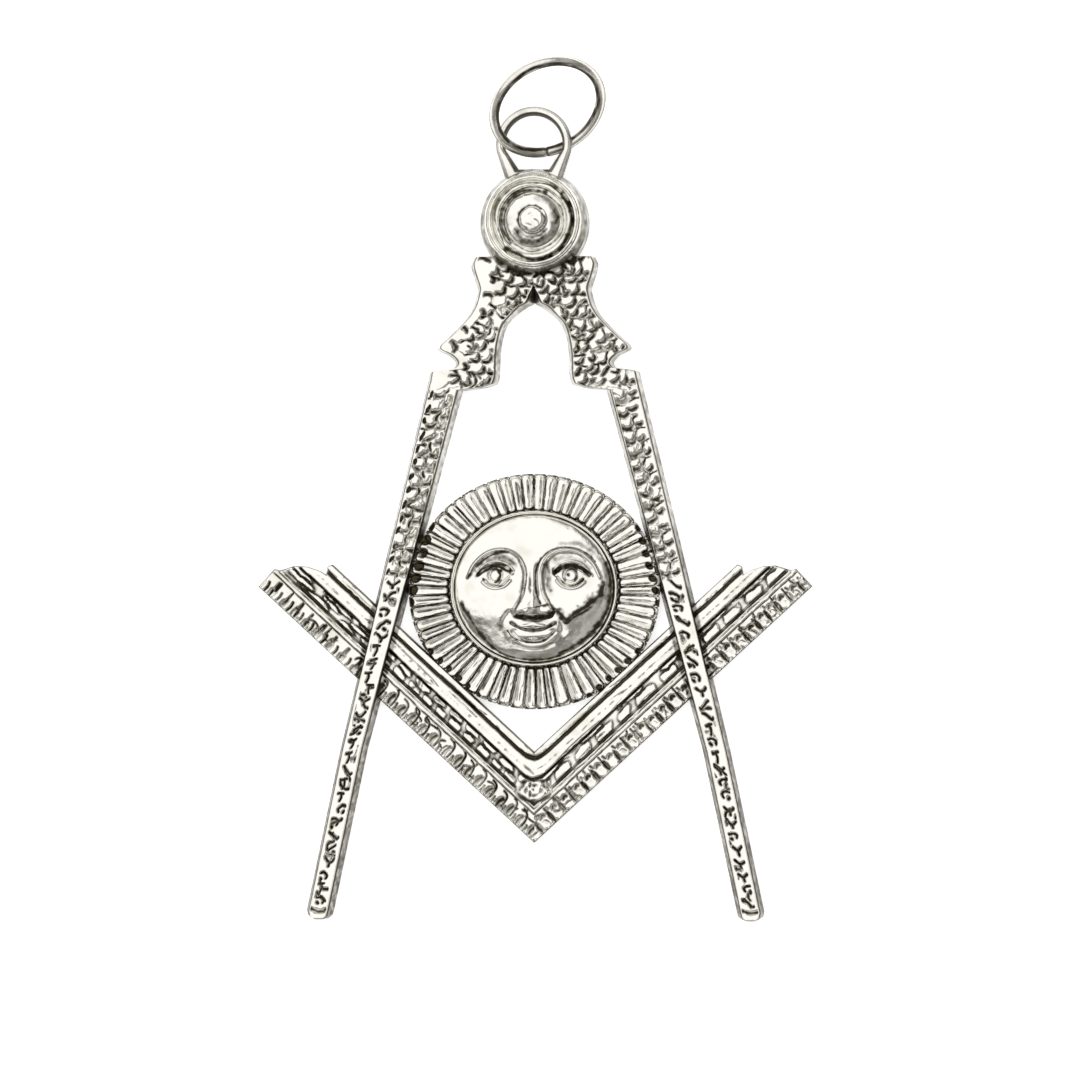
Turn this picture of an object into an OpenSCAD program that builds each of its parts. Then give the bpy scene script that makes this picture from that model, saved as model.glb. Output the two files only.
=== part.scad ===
// Collar jewel: a cast square and compasses with a sun between the legs, a hinge boss,
// a suspension eye and the wire ring that hangs it, all lying on the flat back.
// +Z is the front, +Y the top of the jewel, and the origin is the middle of the sun's back.

/* [Compasses] */
// Rise of the hinge's centre above the middle of the sun
hinge_rise = 36.9; // [34:0.1:40]
// Rise of the shoulders, where the head ends and the legs begin
shoulder_rise = 20.1; // [18:0.1:22]
// Drop of the bend in the legs below the middle of the sun
bend_drop = 15.9; // [13:0.1:19]
// Drop of the feet below the middle of the sun
foot_drop = 32.7; // [29:0.1:38]
// Distance over the legs at the shoulders
shoulder_span = 21.9; // [20:0.1:24]
// Distance over the legs at the bend
bend_span = 39.1; // [36:0.1:42]
// Distance over the legs at the feet
foot_span = 45.8; // [42:0.1:50]
// Width of a leg at the shoulder
leg_top_w = 3.75; // [3:0.05:4.5]
// Width of a leg from the bend to the foot
leg_foot_w = 2.75; // [2.2:0.05:3.5]
// Thickness of the legs and the head
leg_t = 2.2; // [2:0.05:3]
// Distance over the barbs of the head
barb_span = 19.5; // [17:0.1:20.5]
// Rise of the arch between the legs above the shoulders
arch_rise = 9.4; // [7:0.1:10.5]
// Width of the arch
arch_w = 6.9; // [5:0.1:8]
// Lean of the cast sides, from the back to the front
draft = 0.42; // [0.1:0.02:0.5]
// Width of the smooth border along the edges
leg_border = 0.42; // [0.3:0.02:0.6]
// Depth of the ground between the scales
scale_depth = 0.32; // [0.15:0.01:0.5]
// Distance between rows of scales
scale_pitch = 1.28; // [1.1:0.02:2]

/* [Hinge boss] */
// Diameter of the drum at its foot
boss_base_d = 11; // [10:0.1:12]
// Diameter of the drum's rim
boss_d = 9.4; // [8:0.1:9.9]
// Height of the rim above the back
boss_h = 3.6; // [3.2:0.1:5]
// Depth of the grooves on both sides of the inner ring
boss_groove = 0.4; // [0.2:0.05:0.6]
// Diameter of the domed middle
dome_d = 6; // [5:0.1:6.2]
// Rise of the dome above the rim
dome_rise = 0.45; // [0.2:0.05:1]
// Diameter of the button on the dome
button_d = 2.8; // [2:0.1:3.6]
// Rise of the button above the dome
button_rise = 0.45; // [0.2:0.05:0.8]

/* [Suspension eye] */
// Distance over the eye's round top
eye_d = 7.6; // [7:0.1:9]
// Distance from the hinge's centre to the middle of the eye's round top
eye_reach = 7.8; // [7:0.1:9]
// Width of the eye's metal, seen from the front
eye_w = 0.95; // [0.8:0.05:1.2]
// Thickness of the eye's metal, front to back
eye_t = 1.15; // [0.8:0.05:1.3]
// Height of the eye's underside above the back
eye_lift = 1.2; // [1.15:0.05:1.35]
// Width of the neck where it meets the boss
neck_w = 5.4; // [4.5:0.1:6]

/* [Jump ring] */
// Mean diameter of the ring
ring_d = 11.05; // [10.5:0.05:11.5]
// Diameter of the ring's wire
ring_wire = 1; // [0.8:0.05:1.1]
// Lean of the ring's plane
ring_lean = 48.5; // [47:0.5:50]
// Turn of the line that the ring leans about
ring_turn = 26; // [24:1:28]
// Turn of the ring's butted ends within its plane
ring_seam = -112; // [-130:1:-100]
// Gap between the ring's butted ends
ring_gap = 0.12; // [0.05:0.01:0.4]

/* [Square] */
// Angle between the arms
square_angle = 94.6; // [88:0.2:98]
// Length of an arm along its outer edge
arm_l = 37.7; // [34:0.1:42]
// Width of an arm
arm_w = 6.65; // [6:0.05:7.4]
// Lap of the rays' tips on the arms' inner edges
arm_lap = 0.36; // [0.2:0.02:0.6]
// Thickness of an arm's ground
arm_t = 1.2; // [1:0.05:1.4]
// Height of the arm's ornament above its ground
arm_relief = 0.45; // [0.3:0.05:0.6]
// Distance between teeth on the outer border
tooth_pitch = 1.45; // [1.2:0.05:2]
// Distance between leaves on the leaf band
leaf_pitch = 2.6; // [2.2:0.1:4]
// Diameter of the rosette in the corner
rosette_d = 2.9; // [2:0.1:3.4]

/* [Sun] */
// Lap of the rays' tips on the legs' inner edges, level with the middle of the sun
leg_lap = 0; // [-0.2:0.02:0.4]
// Height of the sun over its rays
sun_h = 23.5; // [23:0.1:24.5]
// Thickness of the disc in the valleys between rays
disc_t = 1.15; // [0.9:0.05:1.3]
// Height of the rays above the valleys
ray_relief = 0.55; // [0.3:0.05:0.8]
// Number of rays
ray_count = 62; // [40:1:70]
// Share of a ray's pitch that is raised
ray_share = 0.66; // [0.5:0.01:0.8]
// Width of the face over its rim
face_w = 16.8; // [15:0.1:18]
// Height of the face over its rim
face_h = 15.6; // [14:0.1:17]
// Rise of the face's centre above the middle of the sun
face_rise = 0.3; // [0:0.05:0.8]
// Height of the face's rim above the back
rim_top = 1.95; // [1.85:0.05:2.4]
// Width of the face's rim
rim_w = 0.4; // [0.3:0.05:0.8]
// Width of the ground that closes the ends of the valleys along the legs and the arms
seat_w = 0.35; // [0.2:0.05:0.6]
// Height of the face's dome above its rim
face_dome = 1.25; // [0.8:0.05:2]

/* [Hidden] */
$fn = 48;
// How far a raised detail is sunk into its ground
bury = 0.15;
// How far the two halves of the head pass the middle
lap = 0.2;

// Sections of the head, from the boss down to the top of the arch
// columns: share of the way from the arch to the hinge, share of the barbs' half span
HEAD = [
    [0.53, 0.626],
    [0.43, 0.656],
    [0.28, 0.630],
    [0.09, 0.590],
];
// columns: share of the arch's rise, share of the arch's half width, share of the barbs' half span
ARCH = [
    [1.000, -0.03, 0.602],
    [0.936, 0.00, 0.619],
    [0.890, 0.19, 0.635],
    [0.830, 0.43, 0.666],
    [0.780, 0.60, 0.697],
    [0.720, 0.75, 0.750],
    [0.660, 0.83, 0.805],
    [0.570, 0.91, 0.892],
    [0.450, 0.97, 1.000],
    [0.370, 0.99, 0.872],
    [0.290, 1.00, 0.815],
    [0.235, 1.00, 0.851],
];
// columns: share of the arch's rise, share of the way from the arch to the leg's inner edge
CHEEK = [
    [0.200, 0.00],
    [0.130, 0.02],
    [0.070, 0.07],
    [0.030, 0.38],
    [0.000, 1.00],
];
// Outline of an arm's end
// columns: share of the arm's width, set back as a share of the arm's width
ARM_END = [
    [0.03, 0.00],
    [0.36, 0.00],
    [0.39, 0.07],
    [0.60, 0.19],
    [0.72, 0.34],
    [0.80, 0.52],
    [0.82, 0.64],
    [0.93, 0.57],
    [1.00, 0.60],
];
// Raised lines along an arm
// columns: inner and outer edge as shares of the arm's width, share of the ornament's height
RAILS = [
    [0.325, 0.362, 1.0],
    [0.705, 0.870, 1.0],
    [0.935, 1.000, 1.0],
];
TOOTH_BAND = [0.02, 0.30];
LEAF_BAND = [0.42, 0.68];
// Forms of the face
// columns: place across and up as shares of the face's half sizes, half width, half height,
// turn in degrees, height in millimetres for the dome that is set above
FACE = [
    [0.46, -0.24, 0.34, 0.30, 0, 0.42],
    [0.00, -0.72, 0.26, 0.14, 0, 0.40],
    [0.00, 0.62, 0.60, 0.22, 0, 0.15],
    [0.00, 0.10, 0.085, 0.36, 0, 0.55],
    [0.00, -0.26, 0.13, 0.12, 0, 0.65],
    [0.17, -0.32, 0.08, 0.07, 0, 0.35],
    [0.26, 0.42, 0.17, 0.075, 38, 0.42],
    [0.53, 0.42, 0.19, 0.075, -28, 0.42],
    [0.45, 0.20, 0.27, 0.15, 0, -0.45],
    [0.45, 0.14, 0.20, 0.10, 0, 0.55],
    [0.10, -0.47, 0.17, 0.055, -8, 0.34],
    [0.06, -0.60, 0.16, 0.060, 8, 0.34],
    [0.12, -0.54, 0.18, 0.030, 6, -0.35],
    [0.66, 0.12, 0.10, 0.12, 0, -0.20],
];
// Where the valleys and the rays end, as shares of the sun's half sizes
VALLEY_END = 0.982;
RAY_END = 0.986;
// Rings and spokes of the face's surface
FACE_RINGS = 19;
FACE_SPOKES = 56;

arch_top = shoulder_rise + arch_rise;
leg_in_top = shoulder_span / 2 - leg_top_w;
leg_lean = (bend_span - shoulder_span) / 2 / (shoulder_rise + bend_drop);
inner_lean = (bend_span / 2 - leg_foot_w - leg_in_top) / (shoulder_rise + bend_drop);
sun_w = 2 * (bend_span / 2 - leg_foot_w - bend_drop * inner_lean + leg_lap);
arm_top = arm_t + arm_relief;
ray_top = disc_t + ray_relief;
half_angle = square_angle / 2;
arm_dir = [sin(half_angle), cos(half_angle)];
arm_in = [-cos(half_angle), sin(half_angle)];
// The sun's reach from its middle towards the arms, square to them
sun_reach = norm([sun_w / 2 * arm_in[0], sun_h / 2 * arm_in[1]]);
corner_drop = (arm_w + sun_reach - arm_lap) / sin(half_angle);
eye_y = hinge_rise + eye_reach;
ring_r = ring_d / 2;

// Sections of one side of the compasses, from the boss to the foot: height, inner edge, outer edge
SECTIONS = concat(
    [for (s = HEAD) [arch_top + s[0] * (hinge_rise - arch_top), -lap, s[1] * barb_span / 2]],
    [for (s = ARCH) [shoulder_rise + s[0] * arch_rise, s[1] * arch_w / 2, s[2] * barb_span / 2]],
    [for (s = CHEEK) [shoulder_rise + s[0] * arch_rise,
        arch_w / 2 + s[1] * (leg_in_top - arch_w / 2),
        shoulder_span / 2 - s[0] * arch_rise * leg_lean]],
    [[-bend_drop, bend_span / 2 - leg_foot_w, bend_span / 2],
     [-foot_drop + 0.3 * leg_foot_w, foot_span / 2 - leg_foot_w, foot_span / 2],
     [-foot_drop, foot_span / 2 - 0.8 * leg_foot_w, foot_span / 2 - 0.2 * leg_foot_w]]
);
// lookup() wants rising keys, so heights are counted from the foot
INNER = [for (i = [len(SECTIONS) - 1 : -1 : 0]) [SECTIONS[i][0], SECTIONS[i][1]]];
OUTER = [for (i = [len(SECTIONS) - 1 : -1 : 0]) [SECTIONS[i][0], SECTIONS[i][2]]];

// A point on the right arm: u along its outer edge from the corner, v in from that edge
function on_arm(u, v) = [0, -corner_drop] + u * arm_dir + v * arm_in;
// The corner of a line that runs at v along both arms
function arm_corner(v) = [0, -corner_drop + v / sin(half_angle)];
// Where the end of the arm is set back to, at v
function arm_end(v) = arm_l - arm_w * lookup(v / arm_w, ARM_END);
function mirrored(points) = [for (i = [len(points) - 1 : -1 : 0]) [-points[i][0], points[i][1]]];
function oval(w, h, share, turn) = [share * w / 2 * sin(turn), share * h / 2 * cos(turn)];

// A round-topped form of the face: 1 in its middle, falling smoothly to nothing
function form(x, y, f) =
    let (dx = x - f[0], dy = y - f[1],
         u = (dx * cos(f[4]) + dy * sin(f[4])) / f[2],
         v = (dy * cos(f[4]) - dx * sin(f[4])) / f[3])
    exp(-u * u - v * v);
// Height of the face at shares x and y of its half sizes, the same on both sides
function face_z(x, y) =
    let (r2 = min(1, x * x + y * y), inside = 1 - pow(r2, 3))
    rim_top - rim_w + face_dome * pow(1 - r2, 0.75)
    + inside * face_dome / 1.25 * sum([for (f = FACE) f[5] * form(abs(x), y, f)]);
function sum(list, i = 0) = i < len(list) ? list[i] + sum(list, i + 1) : 0;

module both_sides() {
    children();
    mirror([1, 0, 0]) children();
}

// Raises flat shapes from one height to another
module raise(from, to) {
    translate([0, 0, from]) linear_extrude(to - from) children();
}

// One side of the compasses, with sides that lean in towards the front
module leg_body() {
    n = len(SECTIONS);
    // The edge in the middle of the head isn't open to the air and stays upright
    points = [for (s = SECTIONS) each [
        [s[1], s[0], 0],
        [s[2], s[0], 0],
        [s[2] - draft, s[0], leg_t],
        [s[1] + (s[1] < 0 ? 0 : draft), s[0], leg_t],
    ]];
    sides = [for (i = [0 : n - 2], k = [0 : 3])
        let (a = 4 * i + k, b = 4 * i + (k + 1) % 4)
        each [[a, b + 4, b], [a, a + 4, b + 4]]];
    last = 4 * (n - 1);
    polyhedron(points, concat([[0, 2, 3], [0, 1, 2]], sides,
        [[last, last + 2, last + 1], [last, last + 3, last + 2]]));
}

// The hollow under the lower edge of one scale, round the scale's middle
module scale_hollow(size) {
    outer = [for (a = [-150 : 30 : -30]) size * [cos(a), sin(a)]];
    inner = [for (a = [-50 : -40 : -130]) size * [0.8 * cos(a), 0.3 + 0.8 * sin(a)]];
    polygon(concat(outer, inner));
}

// The hollows between the scales of one side, staggered from row to row
module scale_hollows() {
    top = SECTIONS[1][0];
    rows = floor((top + foot_drop - leg_foot_w / 2) / scale_pitch);
    reach = 0.4 * scale_pitch;
    for (i = [0 : rows - 1]) {
        y = top - (i + 0.5) * scale_pitch;
        low = max(0, max(lookup(y, INNER), lookup(y - reach, INNER)) + draft) + leg_border;
        high = min(lookup(y + reach, OUTER), lookup(y - reach, OUTER)) - draft - leg_border;
        across = max(1, floor((high - low) / scale_pitch));
        size = min(reach, 0.4 * (high - low) / across);
        stagger = (i % 2 - 0.5) * (high - low - 2 * size * across) / (across + 1);
        for (j = [0 : across - 1])
            translate([low + (high - low) * (j + 0.5) / across + stagger, y])
                rotate(24 * sin(137 * (i + 3 * j))) scale_hollow(size);
    }
}

module compasses() {
    both_sides() difference() {
        leg_body();
        raise(leg_t - scale_depth, leg_t + bury) scale_hollows();
    }
}

module hinge_boss() {
    rim = boss_d / 2;
    dome = dome_d / 2;
    button = button_d / 2;
    inset = 0.02 * boss_d;
    // The inner ring stands halfway between the dome and the rim
    ring_in = dome + 0.2 * (rim - dome);
    ring_out = dome + 0.58 * (rim - dome);
    dome_top = boss_h + dome_rise;
    translate([0, hinge_rise, 0]) rotate_extrude() polygon([
        [0, 0],
        [boss_base_d / 2, 0],
        [boss_base_d / 2 - inset, 0.45 * boss_h],
        [rim, boss_h - inset],
        [rim - inset, boss_h],
        [ring_out + inset, boss_h],
        [ring_out, boss_h - boss_groove],
        [ring_out - inset, boss_h],
        [ring_in + 0.5 * inset, boss_h],
        [ring_in, boss_h - boss_groove],
        [dome, boss_h - boss_groove],
        [0.88 * dome, boss_h - 0.3 * boss_groove],
        [0.68 * dome, boss_h + 0.6 * dome_rise],
        [button, dome_top],
        [0.94 * button, dome_top + 0.4 * button_rise],
        [0.7 * button, dome_top + 0.72 * button_rise],
        [0.3 * button, dome_top + 0.85 * button_rise],
        [0.24 * button, dome_top + button_rise],
        [0, dome_top + 1.1 * button_rise],
    ]);
}

// The pear-shaped outline of the eye, set in from its outside by a given width
function eye_outline(inset, bottom, half) = concat(
    [[half, bottom]],
    [for (a = [-12 : 12 : 192]) [0, eye_y] + (eye_d / 2 - inset) * [cos(a), sin(a)]],
    [[-half, bottom]]
);

module suspension_eye() {
    seat = hinge_rise + 0.8 * boss_d / 2;
    throat = hinge_rise + 1.13 * boss_d / 2;
    raise(eye_lift, eye_lift + eye_t) difference() {
        polygon(eye_outline(0, seat, neck_w / 2));
        polygon(eye_outline(eye_w, throat, neck_w / 2 - 1.3 * eye_w));
    }
}

// The flat ground of the square, with the shaped ends of its arms
module square_ground() {
    right = concat(
        [arm_corner(0)],
        [for (e = ARM_END) on_arm(arm_l - arm_w * e[1], arm_w * e[0])],
        [arm_corner(arm_w)]
    );
    raise(0, arm_t) both_sides() polygon(right);
}

// A line of given width that runs along both arms and turns at the corner
module arm_line(from, to) {
    right = [arm_corner(from), on_arm(arm_end(from), from), on_arm(arm_end(to), to), arm_corner(to)];
    both_sides() polygon(right);
}

// The hooked teeth of the outer border
module teeth() {
    low = TOOTH_BAND[0] * arm_w;
    high = TOOTH_BAND[1] * arm_w;
    step = high - low;
    count = floor((arm_l - step) / tooth_pitch);
    both_sides() for (i = [0 : count - 1]) {
        u = step / 2 + i * tooth_pitch;
        polygon([
            on_arm(u, low),
            on_arm(u + 0.62 * tooth_pitch, low),
            on_arm(u + 0.75 * tooth_pitch, low + 0.35 * step),
            on_arm(u + 0.62 * tooth_pitch, low + 0.7 * step),
            on_arm(u + 0.95 * tooth_pitch, high),
            on_arm(u + 0.25 * tooth_pitch, high),
            on_arm(u + 0.05 * tooth_pitch, low + 0.6 * step),
        ]);
    }
}

// The overlapping leaves between the ridges
module leaves() {
    low = LEAF_BAND[0] * arm_w;
    wide = (LEAF_BAND[1] - LEAF_BAND[0]) * arm_w;
    start = rosette_d / 2 + wide;
    count = floor((arm_l - arm_w * 0.6 - start) / leaf_pitch);
    both_sides() for (i = [0 : count - 1]) {
        u = start + i * leaf_pitch;
        side = i % 2;
        polygon([for (p = [[0, 0.5], [0.2, 0.1], [0.55, 0], [0.95, 0.28], [0.8, 0.6], [0.4, 0.78]])
            on_arm(u + p[0] * leaf_pitch, low + wide * (side == 0 ? p[1] : 1 - p[1]))]);
    }
}

module rosette() {
    middle = arm_corner((LEAF_BAND[0] + LEAF_BAND[1]) / 2 * arm_w);
    translate([middle[0], middle[1], arm_t - bury]) rotate_extrude() polygon([
        [0, 0],
        [rosette_d / 2, 0],
        [rosette_d / 2, bury + 0.5 * arm_relief],
        [0.3 * rosette_d, bury + arm_relief],
        [0, bury + 1.2 * arm_relief],
    ]);
}

module square_arms() {
    square_ground();
    for (r = RAILS) raise(arm_t - bury, arm_t + r[2] * arm_relief) arm_line(r[0] * arm_w, r[1] * arm_w);
    raise(arm_t - bury, arm_top) teeth();
    raise(arm_t - bury, arm_top) leaves();
    rosette();
}

// The ground of the rays, with an outline that swells at each ray and dips between them
module sun_disc() {
    raise(0, disc_t) polygon([for (i = [0 : 2 * ray_count - 1])
        oval(sun_w, sun_h, i % 2 == 0 ? 1 : VALLEY_END, 180 * i / ray_count)]);
}

// The ground runs on to the legs and the arms, so the valleys end there as blind pits
module sun_seats() {
    top = 0.8 * sun_h / 2;
    middle = bend_span / 2 - leg_foot_w - bend_drop * inner_lean;
    leg_strip = [for (p = [[1, -seat_w], [1, leg_foot_w / 2], [-1, leg_foot_w / 2], [-1, -seat_w]])
        [middle - p[0] * top * inner_lean + p[1], p[0] * top]];
    arm_strip = [
        arm_corner(arm_w - seat_w),
        on_arm(arm_l, arm_w - seat_w),
        on_arm(arm_l, arm_w + seat_w),
        arm_corner(arm_w + seat_w),
    ];
    raise(0, disc_t) both_sides() intersection() {
        polygon([for (i = [0 : 2 * ray_count - 1]) oval(sun_w, sun_h, 1.02, 180 * (i + 0.5) / ray_count)]);
        union() {
            polygon(leg_strip);
            polygon(arm_strip);
        }
    }
}

// The rays are one wheel of bars round the face
module sun_rays() {
    pitch = 360 / ray_count;
    hub = 0.8 * face_w / sun_w;
    raise(disc_t - bury, ray_top) polygon([for (i = [0 : ray_count - 1], k = [0 : 3])
        let (turn = pitch * (i + (k < 2 ? -0.5 : 0.5) * (k == 0 || k == 3 ? 0.8 * ray_share : ray_share)))
        oval(sun_w, sun_h, k == 0 || k == 3 ? hub : RAY_END, turn)]);
}

// The domed face and the rim round it, as one surface of rings and spokes
module sun_face() {
    spokes = FACE_SPOKES;
    floor_z = disc_t / 2;
    half = [face_w / 2, face_h / 2];
    within = 1 - 2.4 * rim_w / face_w;
    // columns: share of the face's half sizes, height
    rim = [[within + 0.35 * rim_w / face_w, rim_top], [1 - 0.7 * rim_w / face_w, rim_top], [1, rim_top - rim_w / 2], [1, floor_z]];
    dome = [for (i = [1 : FACE_RINGS], k = [0 : spokes - 1])
        let (x = i / FACE_RINGS * sin(360 * k / spokes), y = i / FACE_RINGS * cos(360 * k / spokes))
        [half[0] * within * x, half[1] * within * y, face_z(x, y)]];
    edge = [for (r = rim, k = [0 : spokes - 1])
        [half[0] * r[0] * sin(360 * k / spokes), half[1] * r[0] * cos(360 * k / spokes), r[1]]];
    points = concat(dome, edge, [[0, 0, face_z(0, 0)], [0, 0, floor_z]]);
    crown = len(points) - 2;
    bottom = len(points) - 1;
    rings = FACE_RINGS + len(rim);
    bands = [for (i = [0 : rings - 2], k = [0 : spokes - 1])
        let (a = i * spokes + k, b = i * spokes + (k + 1) % spokes)
        each [[a, b + spokes, b], [a, a + spokes, b + spokes]]];
    last = (rings - 1) * spokes;
    caps = [for (k = [0 : spokes - 1])
        let (m = (k + 1) % spokes)
        each [[crown, k, m], [bottom, last + m, last + k]]];
    translate([0, face_rise, 0]) polyhedron(points, concat(bands, caps));
}

module sun() {
    sun_disc();
    sun_seats();
    sun_rays();
    sun_face();
}

module casting() {
    color("silver") {
        compasses();
        hinge_boss();
        suspension_eye();
        square_arms();
        sun();
    }
}

// The ring leans on the eye: its high side is in front of the eye's left limb, its low side
// goes behind the right limb and touches the surface that the jewel lies on
module jump_ring() {
    ring_x = 0.1416 * ring_d;
    ring_y = eye_y + 0.2964 * ring_d;
    lowest = ring_r * sin(ring_lean) + ring_wire / 2;
    opening = 360 * ring_gap / (PI * ring_d);
    color("gainsboro")
        translate([ring_x, ring_y, lowest])
        rotate([0, 0, ring_turn]) rotate([ring_lean, 0, 0])
        rotate([0, 0, ring_seam + opening / 2])
        rotate_extrude(angle = 360 - opening) translate([ring_r, 0]) circle(d = ring_wire);
}

casting();
jump_ring();
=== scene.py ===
"""Dresses the collar jewel: cast relief in antique silver, its wire ring, a pale floor and soft light.

Sizes of the jewel are in millimetres. Places across and up count from the middle of the sun, and heights
from the flat back. The studio's sizes are in metres.
"""

import logging
import math
from collections.abc import Iterable, Sequence
from dataclasses import dataclass
from enum import Enum

import bpy
import numpy as np
from mathutils import Matrix, Vector


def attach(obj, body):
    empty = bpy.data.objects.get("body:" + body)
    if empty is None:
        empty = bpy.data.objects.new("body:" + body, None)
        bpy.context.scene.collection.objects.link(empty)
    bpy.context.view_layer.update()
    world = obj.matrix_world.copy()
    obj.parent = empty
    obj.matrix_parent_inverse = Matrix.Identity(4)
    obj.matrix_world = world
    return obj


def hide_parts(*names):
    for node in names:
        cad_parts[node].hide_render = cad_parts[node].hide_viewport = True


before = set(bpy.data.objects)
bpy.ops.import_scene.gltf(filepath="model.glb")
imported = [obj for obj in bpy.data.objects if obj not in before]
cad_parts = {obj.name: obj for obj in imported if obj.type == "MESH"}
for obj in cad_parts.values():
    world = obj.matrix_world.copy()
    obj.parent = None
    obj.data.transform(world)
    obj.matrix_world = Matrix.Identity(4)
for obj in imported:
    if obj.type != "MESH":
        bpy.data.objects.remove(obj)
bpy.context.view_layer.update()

Array = np.ndarray
Span = tuple[float, float]
Colour = tuple[float, float, float]
Stroke = tuple[float, Array | float, Array]
NodeTree = bpy.types.NodeTree
NodeSocket = bpy.types.NodeSocket
MM = 0.001
TURN = 2 * math.pi
# the hinge's height over the middle of the sun, and the boss's diameter
HINGE_RISE = 36.9
BOSS_D = 9.4
# edges sharper than this are shaded as edges
SHARP_DEGREES = 55
# side of the table of random values that noise repeats, and length of the lists that rows of marks draw from
NOISE_CELLS = 97
DRAWS = 64
# painted shade on the walls: how dark it is at the top and the foot, how much that varies, and how much
# less it is on the upper jewel, over a span of heights
WALL_SHADE = (0.60, 0.72)
WALL_MOTTLE = 0.16
WALL_CELL = 0.5
WALL_PALER = 0.20
WALL_RISE = (2.0, 9.0)
# painted shade in a dark line round a top: how dark it is, and the band in which it fades
EDGE_SHADE = 0.55
EDGE_BAND = (0.03, 0.14)
# a hollow's dark: the shares of its own oxide, of the softened one and of the halo, which is painted shade
# round the cuts, and passes of both blurs
DEEP_SHARE, SOFT_SHARE, HALO_SHARE = 0.92, 0.95, 0.30
SOFT_PASSES, HALO_PASSES = 2, 12
# nicks: over what share of a cell the noise's slope is taken, the least slope, and the size of the second
# noise's cells with the values from which it keeps them
NICK_STEP, NICK_SLOPE, NICK_PATCH = 0.05, 0.3, 0.9
NICK_KEPT = (-0.30, 0.05)
log = logging.getLogger("jewel")


class Side(Enum):
    """The two halves of the jewel, with the sign of x on each."""

    LEFT = -1
    RIGHT = 1


def smooth(low: float, high: float, x: Array) -> Array:
    """Rises from 0 at low to 1 at high: with t the clipped share, t squared times (3 less 2 t)."""
    t = np.clip((x - low) / (high - low), 0.0, 1.0)
    return t * t * (3 - 2 * t)


def fade(low: float, high: float, x: Array) -> Array:
    """Falls from 1 at low to 0 at high: 1 less the smooth step."""
    return 1 - smooth(low, high, x)


def bell(x: Array, width: float) -> Array:
    """Falls from 1 on both sides of 0: e to the power of less (x over width) squared."""
    return np.exp(-((x / width) ** 2))


def bevel(edge: Array, depth: float, width: float) -> Array:
    """How far a rounded edge falls: the depth times the squared fade over the width."""
    return depth * fade(0.0, width, edge) ** 2


def outline(edge: Array) -> Array:
    """A painted shade in a dark line round a top: full at the edge, gone at the end of its band."""
    return EDGE_SHADE * fade(*EDGE_BAND, edge)


def monotone(x: Array, xs: Array, ys: Array) -> Array:
    """Cubic pieces through the points that never overshoot them: slopes are harmonic means of the chords'.

    Args:
        x: the places to work out.
        xs: rising places of the points.
        ys: the points' values.

    Returns:
        The curve's values at x.
    """
    step = np.diff(xs)
    chord = np.diff(ys) / step
    same = chord[:-1] * chord[1:] > 0
    first, second = 2 * step[1:] + step[:-1], step[1:] + 2 * step[:-1]
    safe_a, safe_b = np.where(same, chord[:-1], 1.0), np.where(same, chord[1:], 1.0)
    inner = np.where(same, (first + second) / (first / safe_a + second / safe_b), 0.0)
    slope = np.concatenate([chord[:1], inner, chord[-1:]])
    k = np.clip(np.searchsorted(xs, x, "right") - 1, 0, len(xs) - 2)
    t = np.clip((x - xs[k]) / step[k], 0.0, 1.0)
    return (
        ys[k] * (1 + 2 * t) * (1 - t) ** 2
        + slope[k] * step[k] * t * (1 - t) ** 2
        + ys[k + 1] * t * t * (3 - 2 * t)
        + slope[k + 1] * step[k] * t * t * (t - 1)
    )


def noise(x: Array, y: Array, cell: float, seed: int) -> Array:
    """Smooth noise from -1 to 1: random values at the corners of square cells, blended by smooth steps.

    Args:
        x: places across, in millimetres.
        y: places up.
        cell: width of a cell, in millimetres.
        seed: start of the random draws.

    Returns:
        The noise, shaped as x.
    """
    table = np.random.default_rng(seed).uniform(-1, 1, (NOISE_CELLS, NOISE_CELLS))
    u, v = x / cell, y / cell
    i, j = np.floor(u).astype(int), np.floor(v).astype(int)
    s, t = smooth(0, 1, u - i), smooth(0, 1, v - j)
    right, above = (i + 1) % NOISE_CELLS, (j + 1) % NOISE_CELLS
    i, j = i % NOISE_CELLS, j % NOISE_CELLS
    low = table[i, j] * (1 - s) + table[right, j] * s
    high = table[i, above] * (1 - s) + table[right, above] * s
    return low * (1 - t) + high * t


def ripple(x: Array, y: Array, seed: int, *layers: Span) -> Array:
    """Adds up layers of noise: each layer's height times the noise of its cell size, seed after seed."""
    return sum(height * noise(x, y, cell, seed + k) for k, (height, cell) in enumerate(layers))


def row_of_marks(place: Array, seed: int) -> tuple[Array, Array, Array]:
    """Shares a row out among its marks: each whole number is one mark, which draws four random numbers.

    Args:
        place: places along the row, counted in marks.
        seed: start of the random draws.

    Returns:
        The share of the way along the mark, the mark's number and the lists that it draws from.
    """
    cell = np.floor(place)
    draw = np.random.default_rng(seed).uniform(-1, 1, (4, DRAWS))
    return place - cell, cell.astype(int) % DRAWS, draw


def nicks(x: Array, y: Array, cell: float, width: float, seed: int) -> Array:
    """Short crooked cuts: a bell across the zero lines of one noise, kept where a second one is high.

    The distance to a zero line is the noise over its slope.

    Args:
        x: places across.
        y: places up.
        cell: size of the noise's cells.
        width: half width of the cuts.
        seed: start of the random draws.

    Returns:
        Depths from 0 to 1.
    """
    here, step = noise(x, y, cell, seed), NICK_STEP * cell
    rise = noise(x + step, y, cell, seed) - here, noise(x, y + step, cell, seed) - here
    away = here / (np.hypot(*rise) / step + NICK_SLOPE / cell)
    return bell(away, width) * smooth(*NICK_KEPT, noise(x, y, NICK_PATCH * cell, seed + 1))


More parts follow.
